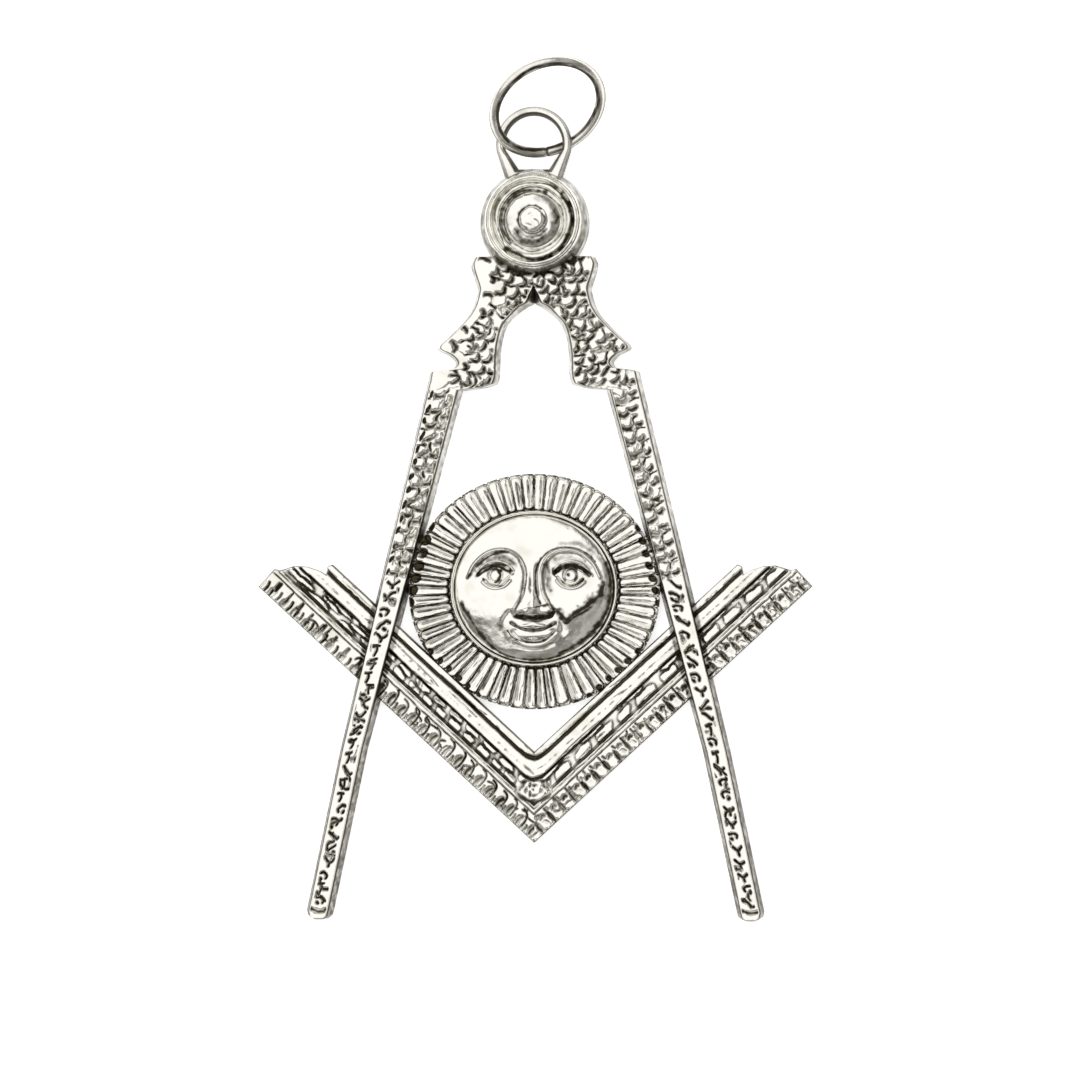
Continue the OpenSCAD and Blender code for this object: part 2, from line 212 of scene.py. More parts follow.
def blurred(grid: Array, passes: int, ringed: bool = False) -> Array:
    """Each pass replaces a value by a quarter, a half and a quarter of its neighbours', along and across.

    Args:
        grid: values on the surface's grid.
        passes: how often the blur is repeated.
        ringed: whether the grid's second direction closes on itself.

    Returns:
        The blurred grid.
    """
    for _ in range(passes):
        padded = np.pad(grid, ((1, 1), (0, 0)), mode="edge")
        grid = (padded[:-2] + 2 * grid + padded[2:]) / 4
        padded = np.pad(grid, ((0, 0), (1, 1)), mode="wrap" if ringed else "edge")
        grid = (padded[:, :-2] + 2 * grid + padded[:, 2:]) / 4
    return grid


def line_distance(x: Array, y: Array, points: Array) -> Array:
    """Distance to a line of straight stretches: the least distance to any of them.

    Args:
        x: places across.
        y: places up.
        points: the line's points, one row each.

    Returns:
        The distance, shaped as x.
    """
    best = np.full(x.shape, np.inf)
    for (ax, ay), (bx, by) in zip(points[:-1], points[1:]):
        dx, dy = bx - ax, by - ay
        t = np.clip(((x - ax) * dx + (y - ay) * dy) / (dx * dx + dy * dy), 0, 1)
        best = np.minimum(best, np.hypot(x - ax - t * dx, y - ay - t * dy))
    return best


def curve(points: Sequence[Span], steps: int = 6) -> Array:
    """A smooth line through the points: each stretch is a cubic whose ends head for the next points but one.

    Args:
        points: the line's few points.
        steps: stretches between two points.

    Returns:
        The line's points, one row each.
    """
    p = np.array(points, float)
    ends = np.vstack([2 * p[0] - p[1], p, 2 * p[-1] - p[-2]])
    t = np.linspace(0, 1, steps, endpoint=False)[:, None]
    parts = [
        0.5 * (2 * b + (c - a) * t + (2 * a - 5 * b + 4 * c - d) * t**2 + (3 * b - a - 3 * c + d) * t**3)
        for a, b, c, d in zip(ends[:-3], ends[1:-2], ends[2:-1], ends[3:])
    ]
    return np.vstack([*parts, p[-1:]])


def strokes(x: Array, y: Array, lines: Iterable[Stroke], ragged: Array | float = 1.0) -> Array:
    """Cuts or stains: a bell across each line, and where two meet the deeper one.

    Args:
        x: places across.
        y: places up.
        lines: half width, depth and points of each.
        ragged: what the distance to a line is multiplied by, so that its width varies.

    Returns:
        Depths, shaped as x.
    """
    total = np.zeros_like(x)
    for width, depth, points in lines:
        total = np.maximum(total, depth * bell(line_distance(x, y, points) * ragged, width))
    return total


def dropped(top: Array, height: float = 0.0) -> Array:
    """The same places across and up, all at one height."""
    return np.concatenate([top[..., :2], np.full_like(top[..., :1], height)], axis=-1)


@dataclass
class Skin:
    """A closed surface: points in millimetres, four-sided faces, flat caps and how dark each point is
    painted, with oxide in the hollows and painted shade.
    """

    points: Array
    quads: Array
    caps: list[Array]
    oxide_and_shade: Array

    def volume(self) -> float:
        """The volume inside: a sixth of the sum of the triple products of every triangle's corners.

        Returns:
            The volume in cubic millimetres, below 0 where the faces look inwards.
        """
        tris = [self.quads[:, [0, 1, 2]], self.quads[:, [0, 2, 3]]]
        for cap in self.caps:
            fan = np.stack([np.full(len(cap) - 2, cap[0]), cap[1:-1], cap[2:]], axis=1)
            tris.append(fan)
        a, b, c = (self.points[np.vstack(tris)[:, k]] for k in range(3))
        return float(np.einsum("ij,ij->i", a, np.cross(b, c)).sum() / 6)

    def mesh(self, name: str) -> bpy.types.Mesh:
        """Puts the surface into a mesh, with its faces turned outwards.

        Args:
            name: the mesh's name.

        Returns:
            The mesh, in metres, with the point attribute recess, which holds the oxide and the painted
            shade.
        """
        turn = slice(None, None, -1) if self.volume() < 0 else slice(None)
        faces = self.quads[:, turn].tolist() + [cap[turn].tolist() for cap in self.caps]
        mesh = bpy.data.meshes.new(name)
        mesh.from_pydata((self.points * MM).tolist(), [], faces)
        layer = mesh.attributes.new("oxide_and_shade", "FLOAT", "POINT")
        layer.data.foreach_set("value", self.oxide_and_shade.astype(np.float32))
        mesh.polygons.foreach_set("use_smooth", np.ones(len(mesh.polygons), bool))
        mesh.set_sharp_from_angle(angle=math.radians(SHARP_DEGREES))
        mesh.update()
        return mesh


def plate(top: Array, foot: Array, oxide_and_shade: Array, ringed: bool = False, steps: int = 4) -> Skin:
    """A relief on a flat back: the top grid, straight walls down to the foot's edge, and a flat underside.

    The walls get painted shade, darker towards the foot by even steps, with noise, and paler on the upper
    jewel.

    Args:
        top: places of the relief's grid, rows by columns by three.
        foot: places of the same grid's edge on the underside, shaped as top.
        oxide_and_shade: how dark each grid point is painted, from 0 to 1, with oxide in the hollows and
            painted shade.
        ringed: whether the columns close round a middle, which a cap then fills.
        steps: rows of faces down the walls.

    Returns:
        The closed surface.
    """
    rows, cols = top.shape[:2]
    index = np.arange(rows * cols).reshape(rows, cols)
    if ringed:
        after = np.roll(index, -1, axis=1)
        quads = np.stack([index[:-1], index[1:], after[1:], after[:-1]], axis=-1)
        edge = index[-1][::-1]
        caps = [index[0]]
    else:
        quads = np.stack([index[:-1, :-1], index[1:, :-1], index[1:, 1:], index[:-1, 1:]], axis=-1)
        edge = np.concatenate([index[0, :-1], index[:-1, -1], index[-1, :0:-1], index[:0:-1, 0]])
        caps = []
    flat, below = top.reshape(-1, 3), foot.reshape(-1, 3)
    share = (np.arange(1, steps + 1) / steps)[:, None]
    walls = flat[edge] * (1 - share[..., None]) + below[edge] * share[..., None]
    rings = np.vstack([edge, len(flat) + np.arange(steps * len(edge)).reshape(steps, -1)])
    after = np.roll(rings, -1, axis=1)
    sides = np.stack([rings[:-1], after[:-1], after[1:], rings[1:]], axis=-1)
    x, y, z = (walls[..., k] for k in range(3))
    # painted shade on the walls, with noise, darker towards the foot and paler higher up
    mottle = WALL_MOTTLE * noise(x + y, y + 1.5 * z, WALL_CELL, 11) - WALL_PALER * smooth(*WALL_RISE, y)
    high, low = WALL_SHADE
    shade = np.clip(high + (low - high) * share + mottle, 0, 1)
    return Skin(
        points=np.vstack([flat, walls.reshape(-1, 3)]),
        quads=np.vstack([quads.reshape(-1, 4), sides.reshape(-1, 4)]),
        caps=[*caps, rings[-1]],
        oxide_and_shade=np.concatenate([oxide_and_shade.ravel(), shade.ravel()]),
    )


def tube(grid: Array, oxide_and_shade: Array, closed: bool) -> Skin:
    """A closed profile carried along a path: rows are profiles, and the ends are joined or capped.

    Args:
        grid: places, one row for each profile.
        oxide_and_shade: how dark each point is painted, with oxide and painted shade, shaped as the grid.
        closed: whether the last profile joins the first.

    Returns:
        The closed surface.
    """
    rows, cols = grid.shape[:2]
    index = np.arange(rows * cols).reshape(rows, cols)
    along = np.vstack([index, index[:1]]) if closed else index
    after = np.roll(along, -1, axis=1)
    quads = np.stack([along[:-1], after[:-1], after[1:], along[1:]], axis=-1)
    caps = [] if closed else [index[0][::-1], index[-1]]
    return Skin(grid.reshape(-1, 3), quads.reshape(-1, 4), caps, oxide_and_shade.ravel())


def hollows(height: Array, passes: int, depth: float, ringed: bool = False) -> Array:
    """How far a point lies under its surroundings: the blurred height less the height, over a depth.

    A softer share, of the hollows blurred once more, darkens the slopes beside the cuts, and a wide halo
    round them is painted shade.

    Args:
        height: the relief's height on the grid.
        passes: width of the blur, in passes.
        depth: the depth that counts as fully recessed.
        ringed: whether the grid closes on itself.

    Returns:
        Values from 0 on raised metal to 1 in the hollows.
    """
    deep = np.clip((blurred(height, passes, ringed) - height) / depth, 0, 1)
    soft = blurred(deep, SOFT_PASSES, ringed)
    halo = HALO_SHARE * blurred(soft, HALO_PASSES, ringed)
    return np.clip(np.maximum(DEEP_SHARE * deep, SOFT_SHARE * soft) + halo, 0, 1)


@dataclass(frozen=True)
class Marks:
    """A field of stones, ovals or crescents: centre, half width, half length and turn of each."""

    x: Array
    y: Array
    wide: Array
    long: Array
    turn: Array

    # half width of a stone's round top, and where an oval's rim starts and ends to fall, both as shares of
    # the mark's half size
    DOME = 1.30
    OVAL_RIM = (0.66, 1.15)

    @staticmethod
    def scattered(places: Array, half: Span, turn: Span, loose: float, seed: int) -> "Marks":
        """Marks at the places, each nudged, stretched and turned a little at random.

        Args:
            places: the centres before they are nudged, one row each.
            half: the mean half width and half length.
            turn: the mean turn and the most that a turn departs from it, in radians.
            loose: the most that a centre is nudged and a size changed, as a share of the size.
            seed: start of the random draws.

        Returns:
            The field.
        """
        draw = np.random.default_rng(seed)
        n = len(places)
        return Marks(
            places[:, 0] + draw.uniform(-loose, loose, n) * half[0],
            places[:, 1] + draw.uniform(-loose, loose, n) * half[1],
            half[0] * draw.uniform(1 - 0.8 * loose, 1 + 0.8 * loose, n),
            half[1] * draw.uniform(1 - 0.7 * loose, 1 + 0.8 * loose, n),
            turn[0] + draw.uniform(-turn[1], turn[1], n),
        )

    def joined(self, other: "Marks") -> "Marks":
        """This field and the other as one."""
        both = [(getattr(self, name), getattr(other, name)) for name in self.__dataclass_fields__]
        return Marks(*(np.concatenate(pair) for pair in both))

    def turned(self, turn: float) -> "Marks":
        """The same marks, all turned alike."""
        return Marks(self.x, self.y, self.wide, self.long, 0 * self.turn + turn)

    def _local(self, x: Array, y: Array) -> tuple[Array, Array]:
        """Turns places into each mark's own axes.

        Args:
            x: places across.
            y: places up.

        Returns:
            The places across and along each mark, with one more axis for the marks.
        """
        dx, dy = x[..., None] - self.x, y[..., None] - self.y
        c, s = np.cos(self.turn), np.sin(self.turn)
        return dx * c + dy * s, dy * c - dx * s

    def stones(self, x: Array, y: Array, crack: float) -> tuple[Array, Array]:
        """Stones packed side by side: each place belongs to the centre that is nearest for its size.

        Args:
            x: places across.
            y: places up.
            crack: how much nearer one centre has to be for the place to be clear of the crack.

        Returns:
            The round top's fall from 0 to 1, as a half sphere's, and the crack's depth from 0 to 1.
        """
        u, v = self._local(x, y)
        near = np.partition(np.hypot(u / self.wide, v / self.long), 1, axis=-1)
        fall = 1 - np.sqrt(np.clip(1 - (near[..., 0] / self.DOME) ** 2, 0, 1))
        return fall, fade(0.0, crack, near[..., 1] - near[..., 0])

    def ovals(self, x: Array, y: Array) -> Array:
        """Filled ovals: 1 inside, falling smoothly over the last third of the way to the edge."""
        u, v = self._local(x, y)
        return np.max(fade(*self.OVAL_RIM, np.hypot(u / self.wide, v / self.long)), axis=-1, initial=0.0)

    def crescents(self, x: Array, y: Array, width: float, span: float) -> Array:
        """Curved cuts: a bell across the circle round each centre, kept over a span of its turn.

        Args:
            x: places across.
            y: places up.
            width: half width of the cut.
            span: half of the angle that it runs through, in radians.

        Returns:
            Depths from 0 to 1.
        """
        u, v = self._local(x, y)
        off = np.hypot(u / self.wide, v / self.long) * self.wide - self.wide
        taper = np.exp(-((np.arctan2(v, u) / span) ** 4))
        return np.max(bell(off, width * (0.35 + 0.65 * taper)) * taper, axis=-1, initial=0.0)


def fill(tree: NodeTree, node: bpy.types.Node, settings: dict[str | int, object]) -> None:
    """Gives a node's inputs their values, or links them where the value is another node's socket.

    Args:
        tree: the nodes it belongs to.
        node: the node.
        settings: the value or socket for each input, by the input's name or number.
    """
    for name, value in settings.items():
        if isinstance(value, bpy.types.NodeSocket):
            tree.links.new(value, node.inputs[name])
        else:
            node.inputs[name].default_value = value


def add_node(
    tree: NodeTree, kind: str, settings: dict[str | int, object], output: str | int, **options: str
) -> NodeSocket:
    """Adds a node with its options and inputs.

    Args:
        tree: the nodes it joins.
        kind: the node's type.
        settings: the value or socket for each input, by the input's name or number.
        output: the name or number of the output that is wanted.
        options: the node's own settings.

    Returns:
        The output's socket.
    """
    node = tree.nodes.new(kind)
    for name, option in options.items():
        setattr(node, name, option)
    fill(tree, node, settings)
    return node.outputs[output]


@dataclass(frozen=True)
class AntiqueSilver:
    """Bright silver on raised metal, and a warm black for the oxide in the hollows and for painted shade.

    The dark's share, oxide and painted shade, is the recess attribute, broken up by fine and wide noise.
    Wide noise also tints the metal and dulls it in patches, and fine noise gives the cast skin its small
    bumps.
    """

    name: str
    bright: Colour = (0.95, 0.932, 0.872)
    tarnish: Colour = (0.74, 0.70, 0.58)
    # the warm black of the oxide, which also paints the shade
    oxide_and_shade_colour: Colour = (0.060, 0.049, 0.029)
    polish: float = 0.11
    wear: float = 0.10
    dull: float = 0.50
    grain: float = 2600.0
    patch: float = 420.0
    bump: float = 0.45
    bump_depth: float = 0.00003
    # how much wide and fine noise break up the oxide and the painted shade, and where they start and are
    # full
    wide_share: float = 0.30
    fine_share: float = 0.16
    oxide_and_shade_from: Span = (0.25, 1.14)
    # where the wide noise starts and ends to tint the metal, by how much at most, and to dull it
    tint_from: Span = (0.50, 0.80)
    tint_most: float = 0.50
    wear_from: Span = (0.35, 0.75)

    def material(self) -> bpy.types.Material:
        """Builds the node material.

        Returns:
            The material.
        """
        made = bpy.data.materials.new(self.name)
        made.use_nodes = True
        tree = made.node_tree
        place = add_node(tree, "ShaderNodeTexCoord", {}, "Object")
        fine, wide = (
            add_node(tree, "ShaderNodeTexNoise", {"Vector": place, "Scale": scale, "Detail": detail}, "Fac")
            for scale, detail in ((self.grain, 3.0), (self.patch, 2.0))
        )
        # the share of oxide and of painted shade, from the mesh's attribute
        depth = add_node(tree, "ShaderNodeAttribute", {}, "Fac", attribute_name="oxide_and_shade")
        for noisy, part in ((wide, self.wide_share), (fine, self.fine_share)):
            settings = {0: noisy, 1: part, 2: depth}
            depth = add_node(tree, "ShaderNodeMath", settings, 0, operation="MULTIPLY_ADD")
        share = self._ramp(tree, depth, self.oxide_and_shade_from, (0.0, 1.0))
        spots = self._ramp(tree, wide, self.tint_from, (0.0, self.tint_most))
        worn = self._ramp(tree, wide, self.wear_from, (self.polish, self.polish + self.wear))
        metal = {"Factor": spots, 6: (*self.bright, 1.0), 7: (*self.tarnish, 1.0)}
        metal = add_node(tree, "ShaderNodeMix", metal, 2, data_type="RGBA")
        colour = {"Factor": share, 6: metal, 7: (*self.oxide_and_shade_colour, 1.0)}
        rough = {"Factor": share, 2: worn, 3: self.dull}
        bumps = {"Strength": self.bump, "Distance": self.bump_depth, "Height": fine}
        fill(tree, tree.nodes["Principled BSDF"], {
            "Metallic": 1.0,
            "Base Color": add_node(tree, "ShaderNodeMix", colour, 2, data_type="RGBA"),
            "Roughness": add_node(tree, "ShaderNodeMix", rough, 0, data_type="FLOAT"),
            "Normal": add_node(tree, "ShaderNodeBump", bumps, "Normal"),
        })
        return made

    @staticmethod
    def _ramp(tree: NodeTree, value: NodeSocket, given: Span, wanted: Span) -> NodeSocket:
        """A smooth step from one value to another, clipped at both ends.

        Args:
            tree: the material's nodes.
            value: what is mapped.
            given: its values where the step starts and ends.
            wanted: the results there.

        Returns:
            The mapped value.
        """
        settings = dict(zip(("From Min", "From Max", "To Min", "To Max"), (*given, *wanted)))
        settings["Value"] = value
        return add_node(tree, "ShaderNodeMapRange", settings, "Result", interpolation_type="SMOOTHSTEP")


class Piece:
    """A sub-assembly that makes one closed surface and stands for a CAD node."""

    name = "piece"
    node = "casting"
    slot = "antique_silver"

    def skin(self) -> Skin:
        """The piece's closed surface, which each kind of piece makes its own way."""
        raise NotImplementedError

    def build(self, material: bpy.types.Material) -> bpy.types.Object:
        """Makes the piece's object, rides it on the jewel and hides the node it stands for.

        Args:
            material: the piece's finish.

        Returns:
            The object.
        """
        mesh = self.skin().mesh(self.name)
        mesh.materials.append(material)
        made = bpy.data.objects.new(self.name, mesh)
        bpy.context.scene.collection.objects.link(made)
        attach(made, "root")
        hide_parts(self.node)
        return made


@dataclass(frozen=True)
class LegPlaces:
    """Places on a leg's top: across, up, the distance to the nearer edge and the share of the way out."""

    x: Array
    y: Array
    edge: Array
    across: Array

    def where(self, live: Array) -> "LegPlaces":
        """The places that are live."""
        return LegPlaces(self.x[live], self.y[live], self.edge[live], self.across[live])


@dataclass(frozen=True)
class CompassSide(Piece):
    """One leg of the compasses with its half of the head: drafted sides and a cobbled face."""

    side: Side
    hinge_rise: float = HINGE_RISE
    shoulder_rise: float = 20.1
    bend_drop: float = 15.9
    foot_drop: float = 32.7
    shoulder_span: float = 21.9
    bend_span: float = 39.1
    foot_span: float = 45.8
    leg_top_w: float = 3.75
    leg_foot_w: float = 2.75
    thickness: float = 2.2
    barb_span: float = 19.5
    arch_rise: float = 9.4
    arch_w: float = 6.9
    draft: float = 0.42
    border: float = 0.36
    relief: float = 0.36
    link: float = 1.32
    pitch: float = 0.082
    columns: int = 60
    crowding: float = 0.35

    # columns: share of the way from the arch to the hinge, share of the barbs' half span
    HEAD = ((0.53, 0.626), (0.43, 0.656), (0.28, 0.630), (0.09, 0.590))
    # columns: share of the arch's rise, share of its half width, share of the barbs' half span
    ARCH = (
        (1.000, -0.03, 0.602), (0.936, 0.00, 0.619), (0.890, 0.19, 0.635), (0.830, 0.43, 0.666),
        (0.780, 0.60, 0.697), (0.720, 0.75, 0.750), (0.660, 0.83, 0.805), (0.570, 0.91, 0.892),
        (0.450, 0.97, 1.000), (0.370, 0.99, 0.872), (0.290, 1.00, 0.815), (0.235, 1.00, 0.851),
    )
    # columns: share of the arch's rise, share of the way from the arch to the leg's inner edge
    CHEEK = ((0.200, 0.00), (0.130, 0.02), (0.070, 0.07), (0.030, 0.38), (0.000, 1.00))
    # links of the lower leg, taken by chance: strokes with their half width and points, which are shares
    # of the way across and of the link's length
    LINKS = (
        (
            (0.10, ((0.24, 0.78), (0.44, 0.84), (0.62, 0.64), (0.58, 0.40))),
            (0.13, ((0.30, 0.40), (0.34, 0.34))),
        ),
        ((0.12, ((0.28, 0.88), (0.46, 0.60), (0.66, 0.32))), (0.10, ((0.64, 0.32), (0.76, 0.44)))),
        ((0.10, ((0.26, 0.82), (0.48, 0.56), (0.72, 0.80))), (0.11, ((0.48, 0.56), (0.50, 0.26)))),
        ((0.09, ((0.40, 0.88), (0.46, 0.52), (0.40, 0.18))), (0.11, ((0.28, 0.84), (0.52, 0.88)))),
        ((0.11, ((0.66, 0.90), (0.48, 0.70), (0.34, 0.40))), (0.12, ((0.62, 0.36), (0.68, 0.30)))),
    )
    LINK_WIDER = 1.1
    # the head's stones: how far under the hinge they start, distance between rows and mean half size; then
    # on each side the share of the width that they fill, the start of their random draws and the turn of
    # their deepest side in radians
    HEAD_DROP = 3.4
    HEAD_PITCH = 1.12
    HEAD_HALF = (0.56, 0.54)
    HEAD_STONES = {Side.LEFT: (0.68, 64, -2.2), Side.RIGHT: (0.98, 25, -0.9)}
    # the crescents down the left head's smooth part: distance between them and mean half size
    DOTS = (1.75, (0.36, 0.42))
    # the upper leg's inner stones' mean half size, and the slits beside the left leg's border
    LEG_HALF = (0.50, 0.54)
    SLIT_HALF = (0.17, 0.42)
    # the upper leg's rows on each side: starts of their random draws, the turn of the deepest side, shares
    # of the way across of the inner and the outer row, the outer stones' half size, how deep the seam is
    LEG_STONES = {
        Side.LEFT: (61, -2.05, (0.24, 0.30), (0.60, 0.56), (0.40, 0.62), 0.95),
        Side.RIGHT: (21, -1.10, (0.27, 0.33), (0.70, 0.64), (0.34, 0.40), 0.50),
    }
    # starts of the random draws of the lower leg's chain and of the waver in all lines
    CHAIN_SEED = {Side.LEFT: 62, Side.RIGHT: 22}
    WAVER_SEED = {Side.LEFT: 70, Side.RIGHT: 30}
    WAVER = ((0.13, 0.75), (0.05, 0.28))
    # notch over the arch: depth, distance under the arch's top and half width
    NOTCH = (0.44, 0.95, 0.62)
    # painted shade in a ring round the boss's foot, by the distance from the hinge, and how dark it is
    HINGE_RING = (5.35, 5.85)
    HINGE_SHADE = 0.55

    @property
    def name(self) -> str:
        """The piece's name, by its side."""
        return f"compass_{self.side.name.lower()}"

    @property
    def arch_top(self) -> float:
        """Height of the arch's top."""
        return self.shoulder_rise + self.arch_rise

    def sections(self) -> tuple[Array, Array, Array]:
        """The outline, from the foot up.

        Returns:
            Rising heights, with the inner and the outer edge at each, on the underside.
        """
        lean = (self.bend_span - self.shoulder_span) / 2 / (self.shoulder_rise + self.bend_drop)
        foot_out, foot_w = self.foot_span / 2, self.leg_foot_w
        barb, arch, shoulder, rise = (
            self.barb_span / 2, self.arch_w / 2, self.shoulder_span / 2, self.arch_rise,
        )
        leg_in = shoulder - self.leg_top_w
        rows = [(self.arch_top + a * (self.hinge_rise - self.arch_top), 0.0, b * barb) for a, b in self.HEAD]
        rows += [(self.shoulder_rise + a * rise, max(0.0, b) * arch, c * barb) for a, b, c in self.ARCH]
        rows += [
            (self.shoulder_rise + a * rise, arch + b * (leg_in - arch), shoulder - a * rise * lean)
            for a, b in self.CHEEK
        ]
        rows += [
            (-self.bend_drop, self.bend_span / 2 - foot_w, self.bend_span / 2),
            (-self.foot_drop + 0.30 * foot_w, foot_out - foot_w, foot_out),
            (-self.foot_drop + 0.12 * foot_w, foot_out - 0.95 * foot_w, foot_out - 0.04 * foot_w),
            (-self.foot_drop, foot_out - 0.80 * foot_w, foot_out - 0.20 * foot_w),
        ]
        y, inner, outer = np.array(rows[::-1]).T
        return y, inner, outer

    def edges(self, y: Array) -> tuple[Array, Array]:
        """The edges of the underside: straight lines on the legs, smooth curves on the head.

        Args:
            y: heights.

        Returns:
            The inner and the outer edge at each.
        """
        ys, inner, outer = self.sections()
        straight = y < self.shoulder_rise + 0.1 * self.arch_rise
        return tuple(np.where(straight, np.interp(y, ys, e), monotone(y, ys, e)) for e in (inner, outer))

    def top_edges(self, y: Array) -> tuple[Array, Array]:
        """The edges of the top, set back by the draft, with a notch over the arch.

        Args:
            y: heights.

        Returns:
            The inner and the outer edge at each.
        """
        inner, outer = self.edges(y)
        top = self.arch_top
        depth, down, half = self.NOTCH
        back = self.draft * fade(top - 0.1, top + 1.0, y) + depth * bell(y - top + down, half)
        return inner + back, outer - self.draft

    def heights(self) -> Array:
        """Heights of the grid's rows, closer where an edge runs across: equal steps along the longer edge.

        Returns:
            Falling heights.
        """
        ys = self.sections()[0]
        fine = np.linspace(ys[-1], ys[0], 9000)
        inner, outer = self.top_edges(fine)
        step = np.sqrt(np.diff(fine) ** 2 + np.maximum(np.diff(inner) ** 2, np.diff(outer) ** 2))
        way = np.concatenate([[0], np.cumsum(step)])
        return np.interp(np.linspace(0, way[-1], int(way[-1] / self.pitch)), way, fine)

    def column(self, top: float, bottom: float, pitch: float, shares: Span) -> Array:
        """Centres of one mark a row, which steps from share to share of the top's width.

        Args:
            top: height of the first row.
            bottom: height under which no row starts.
            pitch: distance between rows.
            shares: shares of the way from the inner to the outer edge, taken in turn.

        Returns:
            The centres, one row each.
        """
        y = np.arange(top, bottom, -pitch)
        low, high = self.top_edges(y)
        return np.stack([low + (high - low) * np.resize(shares, len(y)), y], axis=1)

    def rows(self, top: float, bottom: float, pitch: float, reach: float) -> Array:
        """Centres in staggered rows that fill the width between the edges.

        Args:
            top: height of the first row.
            bottom: height under which no row starts.
            pitch: distance between rows, and about that between marks in a row.
            reach: the share of the width that is filled, from the inner edge.

        Returns:
            The centres, one row each.
        """
        found = []
        for i, y in enumerate(np.arange(top, bottom, -pitch)):
            low, high = (float(edge) for edge in self.top_edges(np.array(y)))
            count = max(2, round((high - low) * reach / pitch))
            share = (np.arange(count) + 0.5 + 0.25 * (i % 2 * 2 - 1)) / count
            found.append(np.stack([low + (high - low) * reach * share, np.full(count, y)], axis=1))
        return np.vstack(found)

    def head(self, at: LegPlaces) -> Array:
        """Stones on the head, each cut deepest on its lower right. The left head's outer third is smooth.

        Args:
            at: the places.

        Returns:
            Heights under the border, 0 or less.
        """
        x, y, edge, across = at.x, at.y, at.edge, at.across
        reach, seed, down = self.HEAD_STONES[self.side]
        spots = self.rows(self.hinge_rise - self.HEAD_DROP, self.shoulder_rise + 0.4, self.HEAD_PITCH, reach)
        field = Marks.scattered(spots, self.HEAD_HALF, (0.0, 1.5), 0.44, seed)
        fall, crack = field.stones(x, y, 0.42)
        broken = smooth(-0.75, 0.05, noise(x, y, 0.9, seed + 2))
        cut = np.maximum(0.65 * crack * broken, field.turned(down).crescents(x, y, 0.20, 1.15))
        cut = np.maximum(cut, 0.85 * nicks(x, 1.3 * y, 1.3, 0.10, seed + 6))
        kept = smooth(0.35 * self.border, 1.1 * self.border, edge)
        extra = 0 * x
        if self.side is Side.LEFT:
            kept = kept * fade(reach - 0.02, reach + 0.08, across)
            pitch, half = self.DOTS
            spots = self.column(self.hinge_rise - 3.9, self.shoulder_rise + 2, pitch, (0.84, 0.78))
            dots = Marks.scattered(spots, half, (2.4, 0.9), 0.3, seed + 1)
            extra = dots.crescents(x, y, 0.21, 1.5) * smooth(0.2, 0.5, edge)
        return -self.relief * (kept * (0.32 * fall + 0.95 * cut) + extra)

    def upper_leg(self, at: LegPlaces) -> Array:
        """Round stones down the inner side and long ones beside them, each cut deepest below.

        Args:
            at: the places.

        Returns:
            Heights under the border, 0 or less.
        """
        x, y, edge, across = at.x, at.y, at.edge, at.across
        seed, down, inner_row, outer_row, outer_half, seam_depth = self.LEG_STONES[self.side]
        top, bottom = self.shoulder_rise + 0.5, -1.0
        spots = self.column(top, bottom, self.link, inner_row)
        inner = Marks.scattered(spots, self.LEG_HALF, (down, 0.4), 0.22, seed)
        spots = self.column(top - 0.7, bottom, 1.12 * self.link, outer_row)
        outer = Marks.scattered(spots, outer_half, (down, 0.4), 0.26, seed + 1)
        fall, crack = inner.joined(outer).stones(x, y, 0.44)
        cut = np.maximum(inner.crescents(x, y, 0.27, 1.7), 0.95 * outer.crescents(x, y, 0.22, 1.5))
        cut = np.maximum(cut, 0.75 * crack * smooth(-0.6, 0.2, noise(x, y, 1.0, seed + 5)))
        cut = np.maximum(cut, 0.30 * nicks(x, y, 1.2, 0.07, seed + 6))
        sway = across - 0.45 - 0.05 * np.sin(TURN * y / self.link + 1.2) - 0.04 * noise(x, y, 0.8, seed + 3)
        seam = bell(sway, 0.055) * smooth(-0.6, 0.2, noise(x, y, 1.1, seed + 4))
        cut = np.maximum(cut, seam_depth * seam)
        kept = smooth(0.20 * self.border, 0.8 * self.border, edge)
        if self.side is Side.LEFT:
            spots = self.column(top - 0.9, bottom, 1.04 * self.link, (0.87, 0.83))
            slits = Marks.scattered(spots, self.SLIT_HALF, (0.45, 0.3), 0.25, seed + 2)
            cut = np.maximum(cut, 0.95 * slits.ovals(x, y))
        stony = fade(0.66, 0.80, across)
        return -self.relief * kept * (0.22 * fall * stony + cut)

